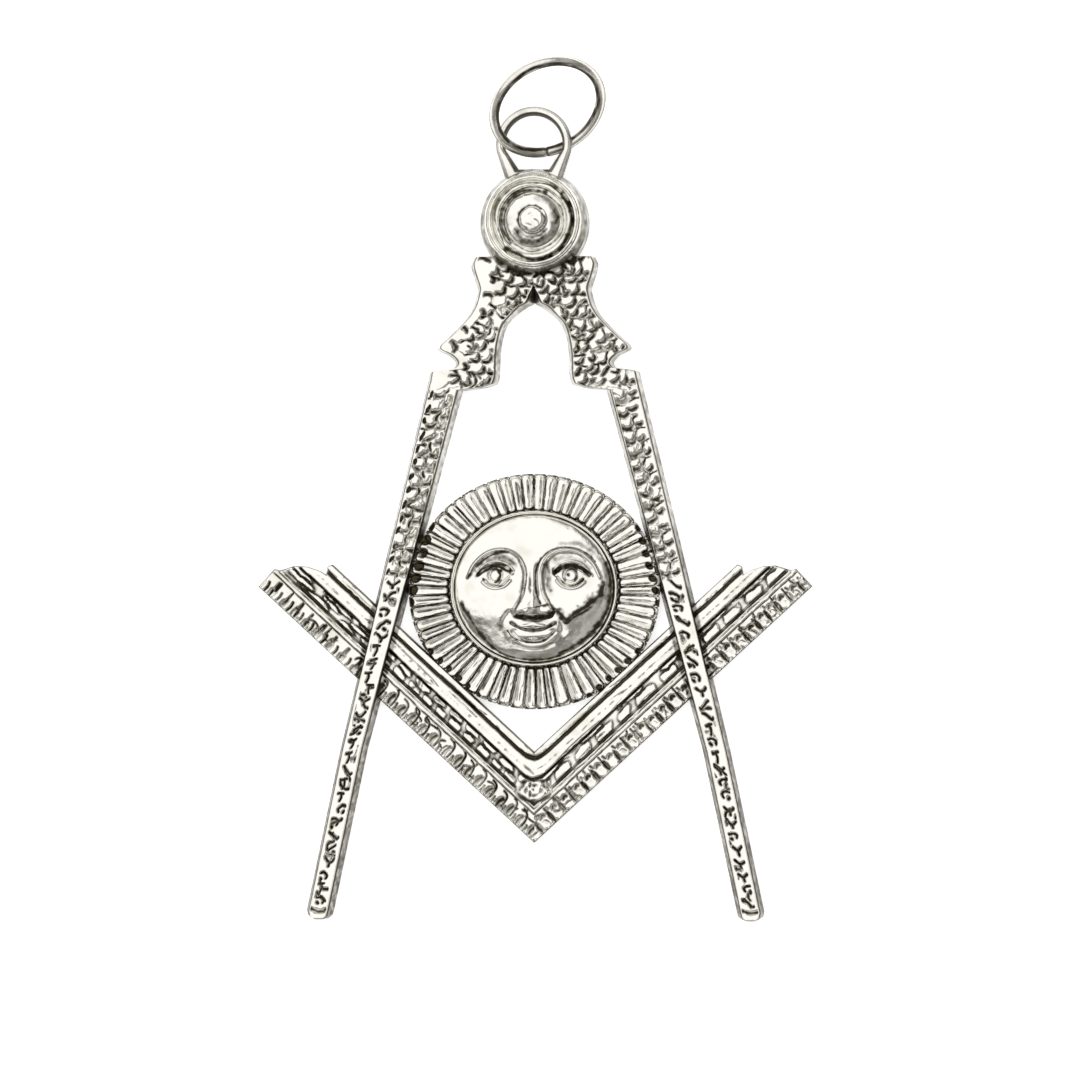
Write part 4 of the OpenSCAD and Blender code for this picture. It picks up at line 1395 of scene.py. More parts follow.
@dataclass(frozen=True)
class SunFace(Piece):
    """The sun's domed, smiling face inside its raised rim."""

    width: float = 16.8
    tall: float = 15.6
    rise: float = 0.3
    rim_top: float = 1.95
    rim: float = 0.36
    dome: float = 1.35
    dome_power: float = 0.66
    seat: float = 0.10
    floor: float = 1.0
    spokes: int = 400
    rings: int = 136

    name = "sun_face"
    # the rim's section: share of the way over it, height over its seat, how dark its painted shade is; the
    # first row is its foot
    RIM = (
        (0.02, -0.08), (0.12, 0.06), (0.26, 0.24), (0.40, 0.33), (0.55, 0.35),
        (0.72, 0.32), (0.86, 0.22), (0.95, 0.08), (1.0, -0.10),
    )
    RIM_SHADE = (0.2, 0.0, 0.0, 0.0, 0.0, 0.05, 0.3, 0.55)
    # iris: place across and up, radius, height, and the half width of the line round it
    IRIS = (3.72, 1.28, 0.54, 0.13, 0.08)
    # forms: place across and up, half width, half height, turn in degrees, height, in millimetres
    FORMS = (
        (3.75, 1.55, 2.45, 1.85, 0, -0.60),
        (1.55, 1.70, 0.75, 1.60, -8, -0.22),
        (3.75, 1.10, 1.40, 0.85, 0, 0.46),
        (4.30, -2.00, 2.30, 1.90, -12, 0.42),
        (0.00, -6.30, 1.60, 0.80, 0, 0.30),
        (0.00, 5.00, 5.00, 1.60, 0, 0.12),
        (-0.15, 0.20, 0.60, 2.50, 0, 0.40),
        (-0.10, -1.95, 0.95, 0.70, 0, 0.46),
        (1.35, -2.25, 0.50, 0.42, 0, 0.30),
        (0.00, -4.10, 2.40, 1.10, 0, 0.18),
        (0.00, -4.72, 1.35, 0.36, 0, 0.34),
        (0.75, -3.72, 0.85, 0.20, -8, 0.22),
    )
    # lines: half width and height in millimetres, then points across and up
    LINES = (
        (0.15, 0.26, ((6.6, 1.1), (5.9, 2.5), (4.5, 3.62), (2.8, 3.85), (1.55, 3.25), (0.9, 2.1),
            (0.8, 0.9), (1, -0.4), (1.5, -1.4), (1.95, -2.2))),
        (0.14, 0.18, ((5.8, 1.3), (4.9, 2.35), (3.8, 2.72), (2.7, 2.45), (2, 1.8))),
        (0.16, -0.34, ((5.6, 1.35), (4.8, 1.98), (3.8, 2.25), (2.8, 2.08), (2.1, 1.55))),
        (0.09, -0.2, ((5, 0.9), (4.4, 0.45), (3.75, 0.28), (3.1, 0.5), (2.4, 1.15))),
        (0.13, 0.14, ((5.1, 0.62), (4.5, 0.15), (3.75, -0.02), (2.9, 0.18), (2.3, 0.75))),
        (0.19, -0.42, ((0, -2.95), (0.7, -2.85), (1.25, -2.85), (1.75, -2.7), (2, -2.3))),
        (0.12, -0.34, ((0, -4.15), (0.8, -4.08), (1.5, -3.85), (2.2, -3.45))),
        (0.11, -0.22, ((0, -5.38), (0.8, -5.3), (1.5, -4.95), (2.1, -4.35))),
        (0.17, -0.16, ((0, -6), (0.9, -5.9), (1.8, -5.55))),
        (0.34, -0.12, ((2.3, -2.4), (2.8, -3.2), (3, -4.2))),
    )
    # what the widths and darks of all the strokes of oxide and painted shade are multiplied by
    FACE_OXIDE_AND_SHADE_SCALE = (1.15, 1.04)
    # strokes of oxide in the folds, and of painted shade and painted dark reflections on the sockets, nose
    # and
    # cheeks: half width, how dark, then points across and up as the face is seen, in millimetres
    FACE_OXIDE_AND_SHADE = (
        (0.17, 1, ((-5.6, 1.35), (-5.2, 1.85), (-4.55, 2.15), (-3.85, 2.22), (-3.2, 2.05), (-2.65, 1.75),
            (-2.15, 1.75))),
        (0.14, 0.9, ((-5, 1.62), (-4.4, 1.9), (-3.8, 1.94), (-3.2, 1.75))),
        (0.07, 0.75, ((-4.7, 0.92), (-4.4, 0.45), (-3.95, 0.22), (-3.45, 0.4), (-3.15, 0.85))),
        (0.13, 0.95, ((-3.5, 1.75), (-3.26, 1.3), (-3.45, 0.85), (-3.8, 0.58))),
        (0.07, 0.6, ((-4.5, 1.7), (-4.62, 1.25), (-4.45, 0.85))),
        (0.12, 0.8, ((-4.98, 0.92), (-4.92, 0.84))),
        (0.17, 0.85, ((-6.63, 1), (-6, 1.85), (-5.15, 2.7), (-4.2, 3.3), (-3.3, 3.6), (-2.55, 3.6))),
        (0.36, 0.62, ((-4.6, 2.8), (-3.6, 3.1), (-2.7, 3), (-2.05, 2.55))),
        (0.18, 0.7, ((-2.35, 2.85), (-1.95, 2.5))),
        (0.05, 0.75, ((-2.85, 3.9), (-2, 3.62), (-1.15, 2.9), (-0.65, 1.92), (-0.65, 0.9), (-0.85, -0.3))),
        (0.17, 0.62, ((-1.45, 2.75), (-1.05, 1.8), (-1.05, 0.5), (-1.2, -0.7), (-1.6, -1.8),
            (-1.9, -2.6))),
        (0.22, 1, ((-1.8, -2.76), (-0.8, -2.84), (0.3, -2.96), (1.4, -2.8), (2.05, -2.38))),
        (0.13, 0.9, ((-1, -3.08), (0.3, -3.28), (1.2, -3.06))),
        (0.06, 0.85, ((-1.42, -2.22), (-0.56, -1.95), (0.3, -1.88), (1.16, -1.66))),
        (0.09, 0.75, ((-1.3, -2.4), (-1.05, -2.2), (-0.85, -2.4))),
        (0.1, 0.9, ((6.15, 2.65), (5.45, 3.35), (4.6, 3.86), (3.6, 4.08), (2.6, 4.05), (1.7, 3.74),
            (0.95, 3.1), (0.42, 2.2), (0.24, 1.2), (0.26, 0.2), (0.45, -0.8), (0.75, -1.5))),
        (0.11, 0.62, ((5.2, 2.7), (4.6, 3.28), (3.6, 3.5), (2.45, 3.4), (1.62, 2.78), (1.1, 2),
            (0.98, 0.9), (1.18, -0.3), (1.65, -1.3))),
        (0.28, 0.66, ((1.3, 2.4), (1.55, 1.6), (1.5, 0.6), (1.75, -0.2))),
        (0.2, 0.7, ((1.95, 1.95), (2.05, 1.55))),
        (0.34, 0.42, ((2.2, 2.9), (3.4, 3), (4.6, 2.75), (5.5, 2))),
        (0.16, 0.8, ((1.1, -1.75), (1.7, -1.6), (2.05, -2.05))),
        (0.17, 1, ((2.35, 1.62), (2.85, 2.1), (3.6, 2.32), (4.3, 2.2), (5, 1.85), (5.66, 1.48))),
        (0.13, 0.9, ((3, 1.88), (3.6, 2.02), (4.3, 1.9))),
        (0.07, 0.8, ((2.05, 1.3), (2.75, 0.75), (3.6, 0.34), (4.4, 0.44), (5, 0.95))),
        (0.1, 0.75, ((2.95, 1.72), (2.9, 1.2), (3.2, 0.72))),
        (0.1, 0.8, ((4.25, 1.7), (4.35, 1.25), (4.1, 0.75))),
        (0.15, 0.95, ((3.48, 1.42), (3.56, 1.3))),
        (0.24, 0.5, ((2.8, 4.45), (4.3, 4.45), (5.6, 3.85), (6.5, 3), (7.1, 2), (7.25, 1))),
        (0.16, 0.72, ((-2.13, -3.36), (-1.4, -3.86), (-0.27, -4.08), (0.87, -4.02), (1.73, -3.76),
            (2.23, -3.52))),
        (0.09, 0.9, ((-2.56, -4.2), (-2, -4.9), (-0.85, -5.32), (0.3, -5.36), (1.3, -5.05), (2.05, -4.4))),
        (0.15, 0.55, ((-2.2, -5.7), (-0.9, -5.95), (0.3, -6.08), (1.6, -5.65), (2.35, -4.95))),
        (0.28, 0.6, ((-3.5, -3.55), (-3.2, -3.75))),
        (0.24, 0.5, ((-2.95, -4.4), (-2.35, -5.3), (-1.6, -5.75))),
        (0.24, 0.95, ((-7.2, -1.5), (-6.75, -2.35), (-5.95, -3.6), (-5.2, -4.7), (-4.2, -5.75))),
        (0.13, 0.9, ((-4.3, -5.7), (-2.9, -6.6), (-1.15, -7.05), (1.2, -7.05), (3, -6.5))),
        (0.26, 1, ((2.55, -2.4), (3.3, -3.1), (4, -2.6), (4.6, -2.2), (5.7, -1.5), (6.65, -0.55),
            (7.05, 0.6))),
        (0.17, 0.95, ((2.7, -2.9), (3.3, -3.45), (3.95, -2.95), (4.9, -2.45), (5.8, -1.85))),
        (0.45, 0.34, ((3.6, -3.9), (5.2, -3.2), (6.4, -1.8))),
        (0.24, 0.85, ((7.2, 2.6), (7.65, 0.9), (7.62, -0.95), (7.05, -2.7), (5.9, -4.3), (4.3, -5.6),
            (2.6, -6.45))),
        (0.55, 0.26, ((-3.5, -6), (0, -6.75), (3.5, -5.8))),
    )

    def features(self, x: Array, y: Array) -> Array:
        """Forms and lines of the face, the same on both sides: bells over turned ovals and along curves.

        Args:
            x: places across from the middle of the face.
            y: places up from it.

        Returns:
            Heights over the dome.
        """
        side = np.abs(x)
        total = np.zeros_like(x)
        for fx, fy, wide, tall, turn, height in self.FORMS:
            c, s = math.cos(math.radians(turn)), math.sin(math.radians(turn))
            u = ((side - fx) * c + (y - fy) * s) / wide
            v = ((y - fy) * c - (side - fx) * s) / tall
            total += height * np.exp(-(u * u) - v * v)
        for width, height, points in self.LINES:
            total += height * bell(line_distance(side, y, curve(points, 4)), width)
        ix, iy, radius, height, line = self.IRIS
        iris = np.hypot(side - ix, y - iy) - radius
        return total + height * (fade(-line, line, iris) - bell(iris - 2 * line, line))

    def face_oxide_and_shade(self, x: Array, y: Array) -> Array:
        """Oxide along the folds, and painted shade and dark reflections on the face: strokes whose width and
        dark vary with noise.

        Args:
            x: places across from the middle of the face.
            y: places up from it.

        Returns:
            How dark, from 0 to about 1.
        """
        ragged = 1 + 0.55 * noise(x, y, 0.34, 57)
        wider, darker = self.FACE_OXIDE_AND_SHADE_SCALE
        lines = [(wider * width, darker * dark, curve(points, 4)) for width, dark, points in self.FACE_OXIDE_AND_SHADE]
        return strokes(x, y, lines, ragged) * (0.92 + ripple(x, y, 55, (0.22, 0.42), (0.14, 0.2)))

    def skin(self) -> Skin:
        """Rings by spokes: a dome with its features, then a groove, the rim and its outer wall.

        Returns:
            The closed surface.
        """
        turn = np.linspace(0, TURN, self.spokes, endpoint=False)[None]
        within = 1 - 2.4 * self.rim / self.width
        inside = np.linspace(0.006, 1, self.rings) ** 0.92 * within
        rim = np.array(self.RIM)
        far = np.concatenate([inside, within + rim[:, 0] * (1 - within)])[:, None]
        x = far * self.width / 2 * np.sin(turn)
        y = far * self.tall / 2 * np.cos(turn)
        base = self.rim_top - self.rim
        share = np.clip(far / within, 0, 1)
        height = base - self.seat + (self.dome + self.seat) * np.clip(1 - share**2, 0, 1) ** self.dome_power
        height = height + self.features(x, y) * (1 - share**6)
        height += ripple(x, y, 51, (0.016, 0.9), (0.009, 0.4))
        height[self.rings:] = base + rim[:, 1:]
        oxide_and_shade = 0.6 * hollows(height, 7, 0.20, ringed=True)
        # the groove inside the rim holds oxide, with painted shade that grows towards the lower right; the
        # rim's rows get painted shade the same way
        toward = smooth(-0.9, 0.5, np.sin(turn) - 0.8 * np.cos(turn))
        seat = bell(share - 1, 0.014) * (0.30 + 0.45 * toward + 0.25 * noise(x, y, 0.7, 58))
        oxide_and_shade = np.clip(np.maximum(oxide_and_shade + seat, self.face_oxide_and_shade(x, y)), 0, 1)
        oxide_and_shade[self.rings + 1:] = np.array(self.RIM_SHADE)[:, None] * (0.4 + 0.6 * toward)
        top = np.stack([x, y + self.rise, height], axis=-1)
        return plate(top, dropped(top, self.floor), oxide_and_shade, ringed=True)


@dataclass(frozen=True)
class HingeBoss(Piece):
    """The turned drum over the hinge: a rim, an inner ring, a domed middle and its button."""

    rise: float = HINGE_RISE
    base_d: float = 11.0
    rim_d: float = BOSS_D
    top: float = 3.6
    groove: float = 0.4
    dome_d: float = 6.0
    dome_rise: float = 0.45
    button_d: float = 2.8
    button_rise: float = 0.45
    wall_shade: float = 0.52
    spokes: int = 300
    rings: int = 110

    name = "hinge_boss"
    # what the widths and darks of all the strokes of oxide and painted shade are multiplied by
    BOSS_OXIDE_AND_SHADE_SCALE = (1.1, 0.75)
    # strokes of oxide in the grooves, widened on their shaded sides as painted shade, and of painted shade
    # and
    # dark reflections on the dome: half width, how dark, then turn clockwise from the top in degrees with
    # the distance from the axis in millimetres
    BOSS_OXIDE_AND_SHADE = (
        (0.19, 1.15, ((225, 3.12), (255, 3.14), (285, 3.14), (320, 3.12), (350, 3.08), (385, 3.08))),
        (0.09, 0.95, ((20, 3.06), (70, 3.08), (120, 3.1), (180, 3.12), (230, 3.12))),
        (0.19, 1.15, ((48, 3.84), (75, 3.86), (100, 3.88), (140, 3.9), (180, 3.9), (225, 3.86))),
        (0.08, 1, ((225, 3.86), (280, 3.82), (330, 3.8), (380, 3.82), (410, 3.84))),
        (0.07, 0.6, ((-60, 4.46), (-20, 4.44), (20, 4.46), (60, 4.46))),
        (0.1, 0.7, ((120, 4.46), (150, 4.42), (180, 4.4), (205, 4.44))),
        (0.06, 0.55, ((225, 4.45), (255, 4.48), (280, 4.46))),
        (0.28, 1.1, ((70, 2.35), (84, 2.5), (98, 2.35))),
        (0.3, 0.75, ((98, 2.05), (120, 2.35), (140, 2.3))),
        (0.36, 1.05, ((140, 2.05), (165, 2.2), (185, 2.3), (215, 2.1), (235, 1.85))),
        (0.2, 0.95, ((125, 1.65), (160, 1.75), (200, 1.75), (235, 1.7))),
        (0.4, 0.62, ((10, 2.2), (40, 2.4), (70, 2.3), (110, 2.35))),
        (0.16, 1.1, ((240, 1.4), (265, 1.42), (290, 1.42), (315, 1.4))),
        (0.13, 1.05, ((315, 1.4), (345, 1.42), (15, 1.38), (40, 1.36))),
        (0.12, 0.9, ((60, 1.1), (85, 1.3), (110, 1.25))),
        (0.12, 0.85, ((215, 1.3), (235, 1.34), (250, 1.3))),
        (0.09, 0.8, ((90, 0.25), (110, 0.62), (130, 0.9))),
        (0.08, 0.75, ((240, 0.75), (215, 0.6), (190, 0.55))),
        (0.08, 0.6, ((320, 0.6), (345, 0.66))),
    )

    def profile(self) -> Array:
        """The drum's outline from its middle out.

        Returns:
            The distance from the axis and the height of each point, one row each.
        """
        rim, dome, button = self.rim_d / 2, self.dome_d / 2, self.button_d / 2
        ring_in, ring_out = dome + 0.2 * (rim - dome), dome + 0.58 * (rim - dome)
        crown, inset = self.top + self.dome_rise, 0.02 * self.rim_d
        return np.array([
            (0.02, crown + 1.10 * self.button_rise),
            (0.30 * button, crown + 1.00 * self.button_rise),
            (0.58 * button, crown + 0.86 * self.button_rise),
            (0.84 * button, crown + 0.50 * self.button_rise),
            (0.98 * button, crown + 0.04 * self.button_rise),
            (1.08 * button, crown - 0.10),
            (0.62 * dome, self.top + 0.70 * self.dome_rise),
            (0.80 * dome, self.top + 0.30 * self.dome_rise),
            (0.93 * dome, self.top - 0.36 * self.groove),
            (0.99 * dome, self.top - 0.95 * self.groove),
            (ring_in - 0.10, self.top - self.groove),
            (ring_in + 0.02, self.top - 0.35 * self.groove),
            (ring_in + 0.14, self.top + 0.02),
            ((ring_in + ring_out) / 2, self.top + 0.06),
            (ring_out - 0.20, self.top),
            (ring_out - 0.08, self.top - 0.5 * self.groove),
            (ring_out + 0.02, self.top - self.groove),
            (ring_out + 0.12, self.top - 0.5 * self.groove),
            (ring_out + 0.22, self.top - 0.04),
            (ring_out + 0.40, self.top - 0.01),
            (ring_out + 0.47, self.top - 0.09),
            (ring_out + 0.54, self.top - 0.02),
            (rim - inset, self.top - 0.03),
            (rim, self.top - inset),
            (rim + 0.25 * (self.base_d / 2 - rim), 0.80 * self.top),
            (self.base_d / 2 - inset, 0.45 * self.top),
        ])

    def boss_oxide_and_shade(self, x: Array, y: Array) -> Array:
        """Oxide in the grooves, and painted shade and reflections on them and the dome: strokes of noisy
        width and dark.

        Args:
            x: places across from the axis.
            y: places up from it.

        Returns:
            How dark, from 0 to about 1.
        """
        ragged = 1 + 0.5 * noise(x, y, 0.36, 75)
        wider, darker = self.BOSS_OXIDE_AND_SHADE_SCALE
        lines = []
        for width, dark, points in self.BOSS_OXIDE_AND_SHADE:
            turn, far = np.array(points).T
            bend = np.stack([far * np.sin(np.radians(turn)), far * np.cos(np.radians(turn))], axis=1)
            lines.append((wider * width, darker * dark, curve(bend)))
        return strokes(x, y, lines, ragged) * (0.94 + 0.3 * noise(x, y, 0.3, 76))

    def skin(self) -> Skin:
        """The outline turned round the hinge's axis, with a slight waver in its lines.

        Returns:
            The closed surface.
        """
        turn = np.linspace(0, TURN, self.spokes, endpoint=False)[None]
        line = self.profile()
        way = np.concatenate([[0], np.cumsum(np.hypot(*np.diff(line, axis=0).T))])
        even = np.linspace(0, way[-1], self.rings)
        far = monotone(even, way, line[:, 0])[:, None]
        height = monotone(even, way, line[:, 1])[:, None] + np.zeros_like(turn)
        x, y = far * np.sin(turn), far * np.cos(turn)
        height = height + ripple(x, y, 71, (0.022, 0.8), (0.014, 0.3))
        oxide_and_shade = 0.42 * hollows(height, 8, 0.10, ringed=True) * smooth(0.0, 0.4, far)
        oxide_and_shade += 0.20 * smooth(0.1, 0.9, ripple(x, y, 77, (1.0, 1.2), (0.4, 0.45)))
        oxide_and_shade = np.maximum(oxide_and_shade, self.boss_oxide_and_shade(x, y))
        # painted shade on the drum's outer wall, darker in two places and with noise
        side = smooth(self.rim_d / 2 + 0.02, self.rim_d / 2 + 0.20, far)
        dark = 0.10 * bell(turn - 4.9, 0.5) + 0.10 * bell(turn - 1.9, 0.7)
        grey = self.wall_shade + dark + 0.14 * noise(turn * 5, far * 3, 0.5, 73)
        oxide_and_shade = np.clip(oxide_and_shade * (1 - side) + side * grey, 0, 1)
        top = np.stack([x, y + self.rise, height], axis=-1)
        foot = np.stack([x * self.base_d / 2 / far, y * self.base_d / 2 / far + self.rise, 0 * x], axis=-1)
        return plate(top, foot, oxide_and_shade, ringed=True)


@dataclass(frozen=True)
class SuspensionEye(Piece):
    """The pear-shaped loop over the boss: a flat face, sides that lean in, lifted clear of the back."""

    hinge_rise: float = HINGE_RISE
    reach: float = 7.8
    across: float = 7.6
    metal: float = 0.95
    thick: float = 1.15
    lift: float = 1.2
    neck: float = 5.4
    boss_d: float = BOSS_D

    name = "suspension_eye"
    # where the outer and the inner line end, as shares of the boss's radius over its axis, and how much
    # wider than the metal the straps are down there
    SEAT = 0.8
    THROAT = 1.13
    STRAP = 1.25
    # the section: share of the half width, share of the height, how dark it is painted: painted shade on the
    # sides that lean in
    SECTION = (
        (0.00, 1.00, 0.10), (0.34, 0.99, 0.16), (0.48, 0.95, 0.36), (0.60, 0.86, 0.60), (0.74, 0.68, 0.66),
        (0.87, 0.42, 0.68), (0.98, 0.18, 0.70), (0.96, 0.06, 0.70), (0.80, 0.00, 0.70), (0.40, 0.00, 0.70),
    )

    def rails(self) -> tuple[Array, Array]:
        """The loop's outline: an arc on top, straight sides and a seat in the boss.

        Returns:
            The outer and the inner line, point for point.
        """
        seat = self.hinge_rise + self.SEAT * self.boss_d / 2
        throat = self.hinge_rise + self.THROAT * self.boss_d / 2
        turn = np.radians(np.linspace(-12, 192, 150))
        ray = np.stack([np.cos(turn), np.sin(turn)], axis=1)
        middle = np.array([0, self.hinge_rise + self.reach])
        lines = []
        for radius, bottom, half in (
            (self.across / 2, seat, self.neck / 2),
            (self.across / 2 - self.metal, throat, self.neck / 2 - self.STRAP * self.metal),
        ):
            arc = middle + radius * ray
            down = np.linspace(0, 1, 40, endpoint=False)[1:, None]
            left = arc[-1] * (1 - down) + np.array([-half, bottom]) * down
            right = np.array([half, bottom]) * (1 - down) + arc[0] * down
            low = np.array([-half, bottom]) + np.array([2 * half, 0]) * np.linspace(0, 1, 12)[:, None]
            lines.append(np.vstack([arc, left, low, right]))
        return lines[0], lines[1]

    def skin(self) -> Skin:
        """The section carried round between the two outlines, its left half the mirror of its right.

        Returns:
            The closed surface.
        """
        outer, inner = self.rails()
        half = np.array(self.SECTION)
        back = half[::-1] * (-1, 1, 1)
        ring = np.vstack([half, back])
        wide, high, deep = (ring[None, :, k] for k in range(3))
        middle, reach = (outer + inner)[:, None] / 2, (outer - inner)[:, None] / 2
        xy = middle + reach * wide[..., None]
        z = self.lift + self.thick * high + np.zeros(xy.shape[:2])
        z += 0.015 * noise(xy[..., 0], xy[..., 1], 0.6, 81)
        grid = np.concatenate([xy, z[..., None]], axis=-1)
        # painted shade on the loop's inner wall, darker on its upper part
        inside = smooth(0.1, -0.5, wide) * smooth(0.99, 0.9, high)
        above = smooth(self.hinge_rise + self.reach - 1, self.hinge_rise + self.reach + 2, xy[..., 1])
        shade = 0.18 + 0.55 * above + 0.2 * noise(xy[..., 0], xy[..., 1], 0.9, 82)
        oxide_and_shade = deep + inside * shade + 0 * z
        return tube(grid, np.clip(oxide_and_shade, 0, 1), closed=True)


@dataclass(frozen=True)
class JumpRing(Piece):
    """The wire ring, bent to a circle with its ends butted, leaning through the eye."""

    mean_d: float = 11.05
    wire: float = 1.0
    lean: float = 48.5
    turn: float = 26.0
    seam: float = -112.0
    gap: float = 0.12
    stations: int = 300
    around: int = 36

    name = "jump_ring"
    node = "jump_ring"
    slot = "silver_wire"
    # the centre's place across and up from the eye's, as shares of the ring's diameter
    OFF_EYE = (0.1416, 0.2964)

    def middle(self) -> tuple[float, float, float]:
        """The ring's centre: beside and above the eye's, as high as the lean lifts it off the floor.

        Returns:
            The centre's place across, up and out of the floor.
        """
        eye = SuspensionEye()
        lift = self.mean_d / 2 * math.sin(math.radians(self.lean)) + self.wire / 2
        across, up = self.OFF_EYE
        return across * self.mean_d, eye.hinge_rise + eye.reach + up * self.mean_d, lift

    def placed(self, x: Array, y: Array, z: Array) -> Array:
        """Turns the ring's own axes by its lean about x and then its turn about z.

        Args:
            x: along the line that the ring leans about.
            y: across it, in the ring's plane.
            z: square to the plane.

        Returns:
            The same arrows or places in the jewel's axes, in one more axis.
        """
        lean, swing = math.radians(self.lean), math.radians(self.turn)
        y, z = y * math.cos(lean) - z * math.sin(lean), y * math.sin(lean) + z * math.cos(lean)
        x, y = x * math.cos(swing) - y * math.sin(swing), x * math.sin(swing) + y * math.cos(swing)
        return np.stack([x, y, z], axis=-1)

    def skin(self) -> Skin:
        """A circle carried round a circle, dented by the pliers beside the seam, with painted shade along
        its inside and sides.

        Returns:
            The closed surface.
        """
        opening = self.gap / (self.mean_d / 2)
        start = math.radians(self.seam) + opening / 2
        along = np.linspace(start, start + TURN - opening, self.stations)[:, None]
        turn = np.linspace(0, TURN, self.around, endpoint=False)[None]
        from_end = np.minimum(along - along[0], along[-1] - along) * self.mean_d / 2
        dents = 0.035 * bell(from_end - 1.5, 0.5) * noise(turn * 3, from_end * 2, 0.8, 92)
        radius = self.wire / 2 * (1 - 0.10 * bell(from_end, 0.10)) + dents * 0.5 - 0.004
        radius = radius + 0.004 * noise(along * 20, turn, 0.7, 91)
        out = np.cos(turn)
        arrow = self.placed(out * np.cos(along), out * np.sin(along), np.sin(turn) + 0 * along)
        inward = -self.placed(np.cos(along), np.sin(along), 0 * along)
        inward[..., 2] = 0
        inward /= np.linalg.norm(inward, axis=-1, keepdims=True)
        grid = self.placed(self.mean_d / 2 * np.cos(along), self.mean_d / 2 * np.sin(along), 0 * along)
        grid = grid + arrow * radius[..., None] + np.array(self.middle())
        # painted shade: a stripe along the ring's inside, and the sides that face level
        off = (arrow * inward).sum(axis=-1) + 0.10 * noise(along * 3, 0 * turn, 0.5, 93)
        painted_inner_shade = smooth(0.16, 0.36, off) * fade(0.78, 0.95, off) * (arrow[..., 2] > -0.3)
        rim = smooth(0.80, 0.97, np.hypot(arrow[..., 0], arrow[..., 1]))
        painted_inner_shade = painted_inner_shade * np.clip(0.85 + 0.3 * noise(along * 6, turn, 0.7, 94), 0, 1)
        seam = 0.45 * bell(from_end, 0.10) + 0.25 * bell(from_end - 1.4, 0.7)
        return tube(grid, np.clip(0.16 + 0.72 * painted_inner_shade + 0.48 * rim + seam, 0, 1), closed=False)


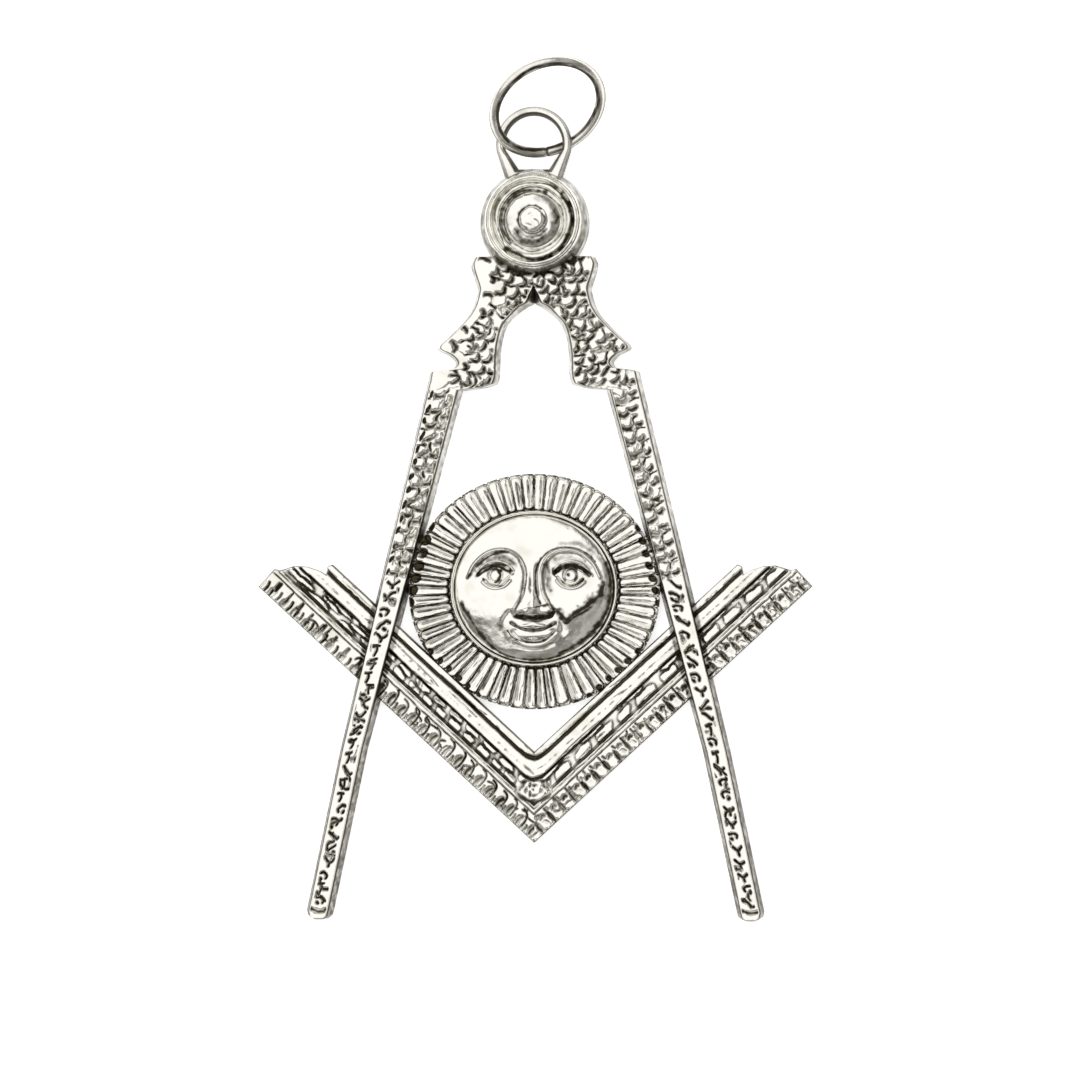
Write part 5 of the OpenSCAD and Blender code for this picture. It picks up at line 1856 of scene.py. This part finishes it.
@dataclass(frozen=True)
class Studio:
    """The floor, the light and the camera.

    The floor glows softly, so the jewel casts no shadow on it. The light all round depends on the angle
    from the key's direction: a broad bright cap, a dark band beside it and a grey wall down to the floor.
    """

    floor_size: float = 4.0
    floor_drop: float = 0.00002
    floor_glow: float = 0.66
    floor_roughness: float = 0.9
    key: tuple[float, float, float] = (-0.30, 0.27, 0.915)
    strength: float = 1.08
    camera: tuple[float, float, float] = (0.024, -0.003, 0.380)
    target: tuple[float, float, float] = (0.00055, 0.00515, 0.0005)
    view_width: float = 0.108

    # columns: cosine of the angle from the key's direction, light
    LIGHT = (
        (0.00, 0.14), (0.10, 0.22), (0.28, 0.42), (0.42, 0.48), (0.49, 0.20),
        (0.54, 0.12), (0.60, 0.15), (0.65, 0.66), (0.70, 1.00),
    )
    # the light's tint where it is weak; it is white where it is 1
    WARMTH = (1.0, 0.975, 0.90)
    FLOOR_PAINT = (0.93, 0.93, 0.925)
    FLOOR_GLOW = (1, 1, 0.995)

    def floor(self) -> None:
        """Makes the floor: a pale matt plane just under the jewel's back."""
        half = self.floor_size / 2
        corners = [(-half, -half, 0), (half, -half, 0), (half, half, 0), (-half, half, 0)]
        mesh = bpy.data.meshes.new("floor")
        mesh.from_pydata(corners, [], [(0, 1, 2, 3)])
        made = bpy.data.objects.new("floor", mesh)
        made.location = (0, 0, -self.floor_drop)
        paint = bpy.data.materials.new("pale_floor")
        paint.use_nodes = True
        fill(paint.node_tree, paint.node_tree.nodes["Principled BSDF"], {
            "Base Color": (*self.FLOOR_PAINT, 1),
            "Roughness": self.floor_roughness,
            "Emission Color": (*self.FLOOR_GLOW, 1),
            "Emission Strength": self.floor_glow,
        })
        mesh.materials.append(paint)
        bpy.context.scene.collection.objects.link(made)

    def sky(self) -> None:
        """Makes the light all round: a ramp over the cosine of the angle from the key's direction."""
        world = bpy.data.worlds.new("soft_studio")
        world.use_nodes = True
        tree = world.node_tree
        toward = add_node(tree, "ShaderNodeTexCoord", {}, "Generated")
        settings = {0: toward, 1: Vector(self.key).normalized()}
        cosine = add_node(tree, "ShaderNodeVectorMath", settings, "Value", operation="DOT_PRODUCT")
        colour = add_node(tree, "ShaderNodeValToRGB", {"Fac": cosine}, "Color")
        elements = colour.node.color_ramp.elements
        for spot, (at, light) in enumerate(self.LIGHT):
            element = elements[spot] if spot < len(elements) else elements.new(at)
            element.position = at
            tint = [light * (1 - (1 - warm) * (1 - light)) for warm in self.WARMTH]
            element.color = (*tint, 1)
        fill(tree, tree.nodes["Background"], {"Color": colour, "Strength": self.strength})
        bpy.context.scene.world = world

    def shoot(self) -> None:
        """Sets the camera up a little to the right of the jewel, looking down at it."""
        data = bpy.data.cameras.new("camera")
        made = bpy.data.objects.new("camera", data)
        made.location = self.camera
        back = Vector(self.camera) - Vector(self.target)
        away = back.normalized()
        across = Vector((0, 1, 0)).cross(away).normalized()
        made.rotation_mode = "QUATERNION"
        made.rotation_quaternion = Matrix((across, away.cross(across), away)).transposed().to_quaternion()
        data.lens = data.sensor_width * back.length / self.view_width
        data.clip_start, data.clip_end = 0.01, 10
        bpy.context.scene.collection.objects.link(made)
        bpy.context.scene.camera = made

    def build(self) -> None:
        """Sets up the floor, the light, the camera and the plain colour response."""
        self.floor()
        self.sky()
        self.shoot()
        bpy.context.scene.view_settings.view_transform = "Standard"


def main() -> None:
    """Builds the jewel piece by piece, logging each piece's faces, then the studio."""
    logging.basicConfig(level=logging.INFO, format="%(name)s: %(message)s")
    silver = AntiqueSilver("antique_silver").material()
    wire = AntiqueSilver("silver_wire", polish=0.22, bump=0.15, tarnish=(0.86, 0.84, 0.79)).material()
    pieces: list[tuple[Piece, bpy.types.Material]] = [
        (CompassSide(Side.LEFT), silver),
        (CompassSide(Side.RIGHT), silver),
        (SquareArms(), silver),
        (SunRays(), silver),
        (SunFace(), silver),
        (HingeBoss(), silver),
        (SuspensionEye(), silver),
        (JumpRing(), wire),
    ]
    for piece, material in pieces:
        made = piece.build(material)
        log.info("%s: %d faces", made.name, len(made.data.polygons))
    Studio().build()


if __name__ == "__main__":
    main()
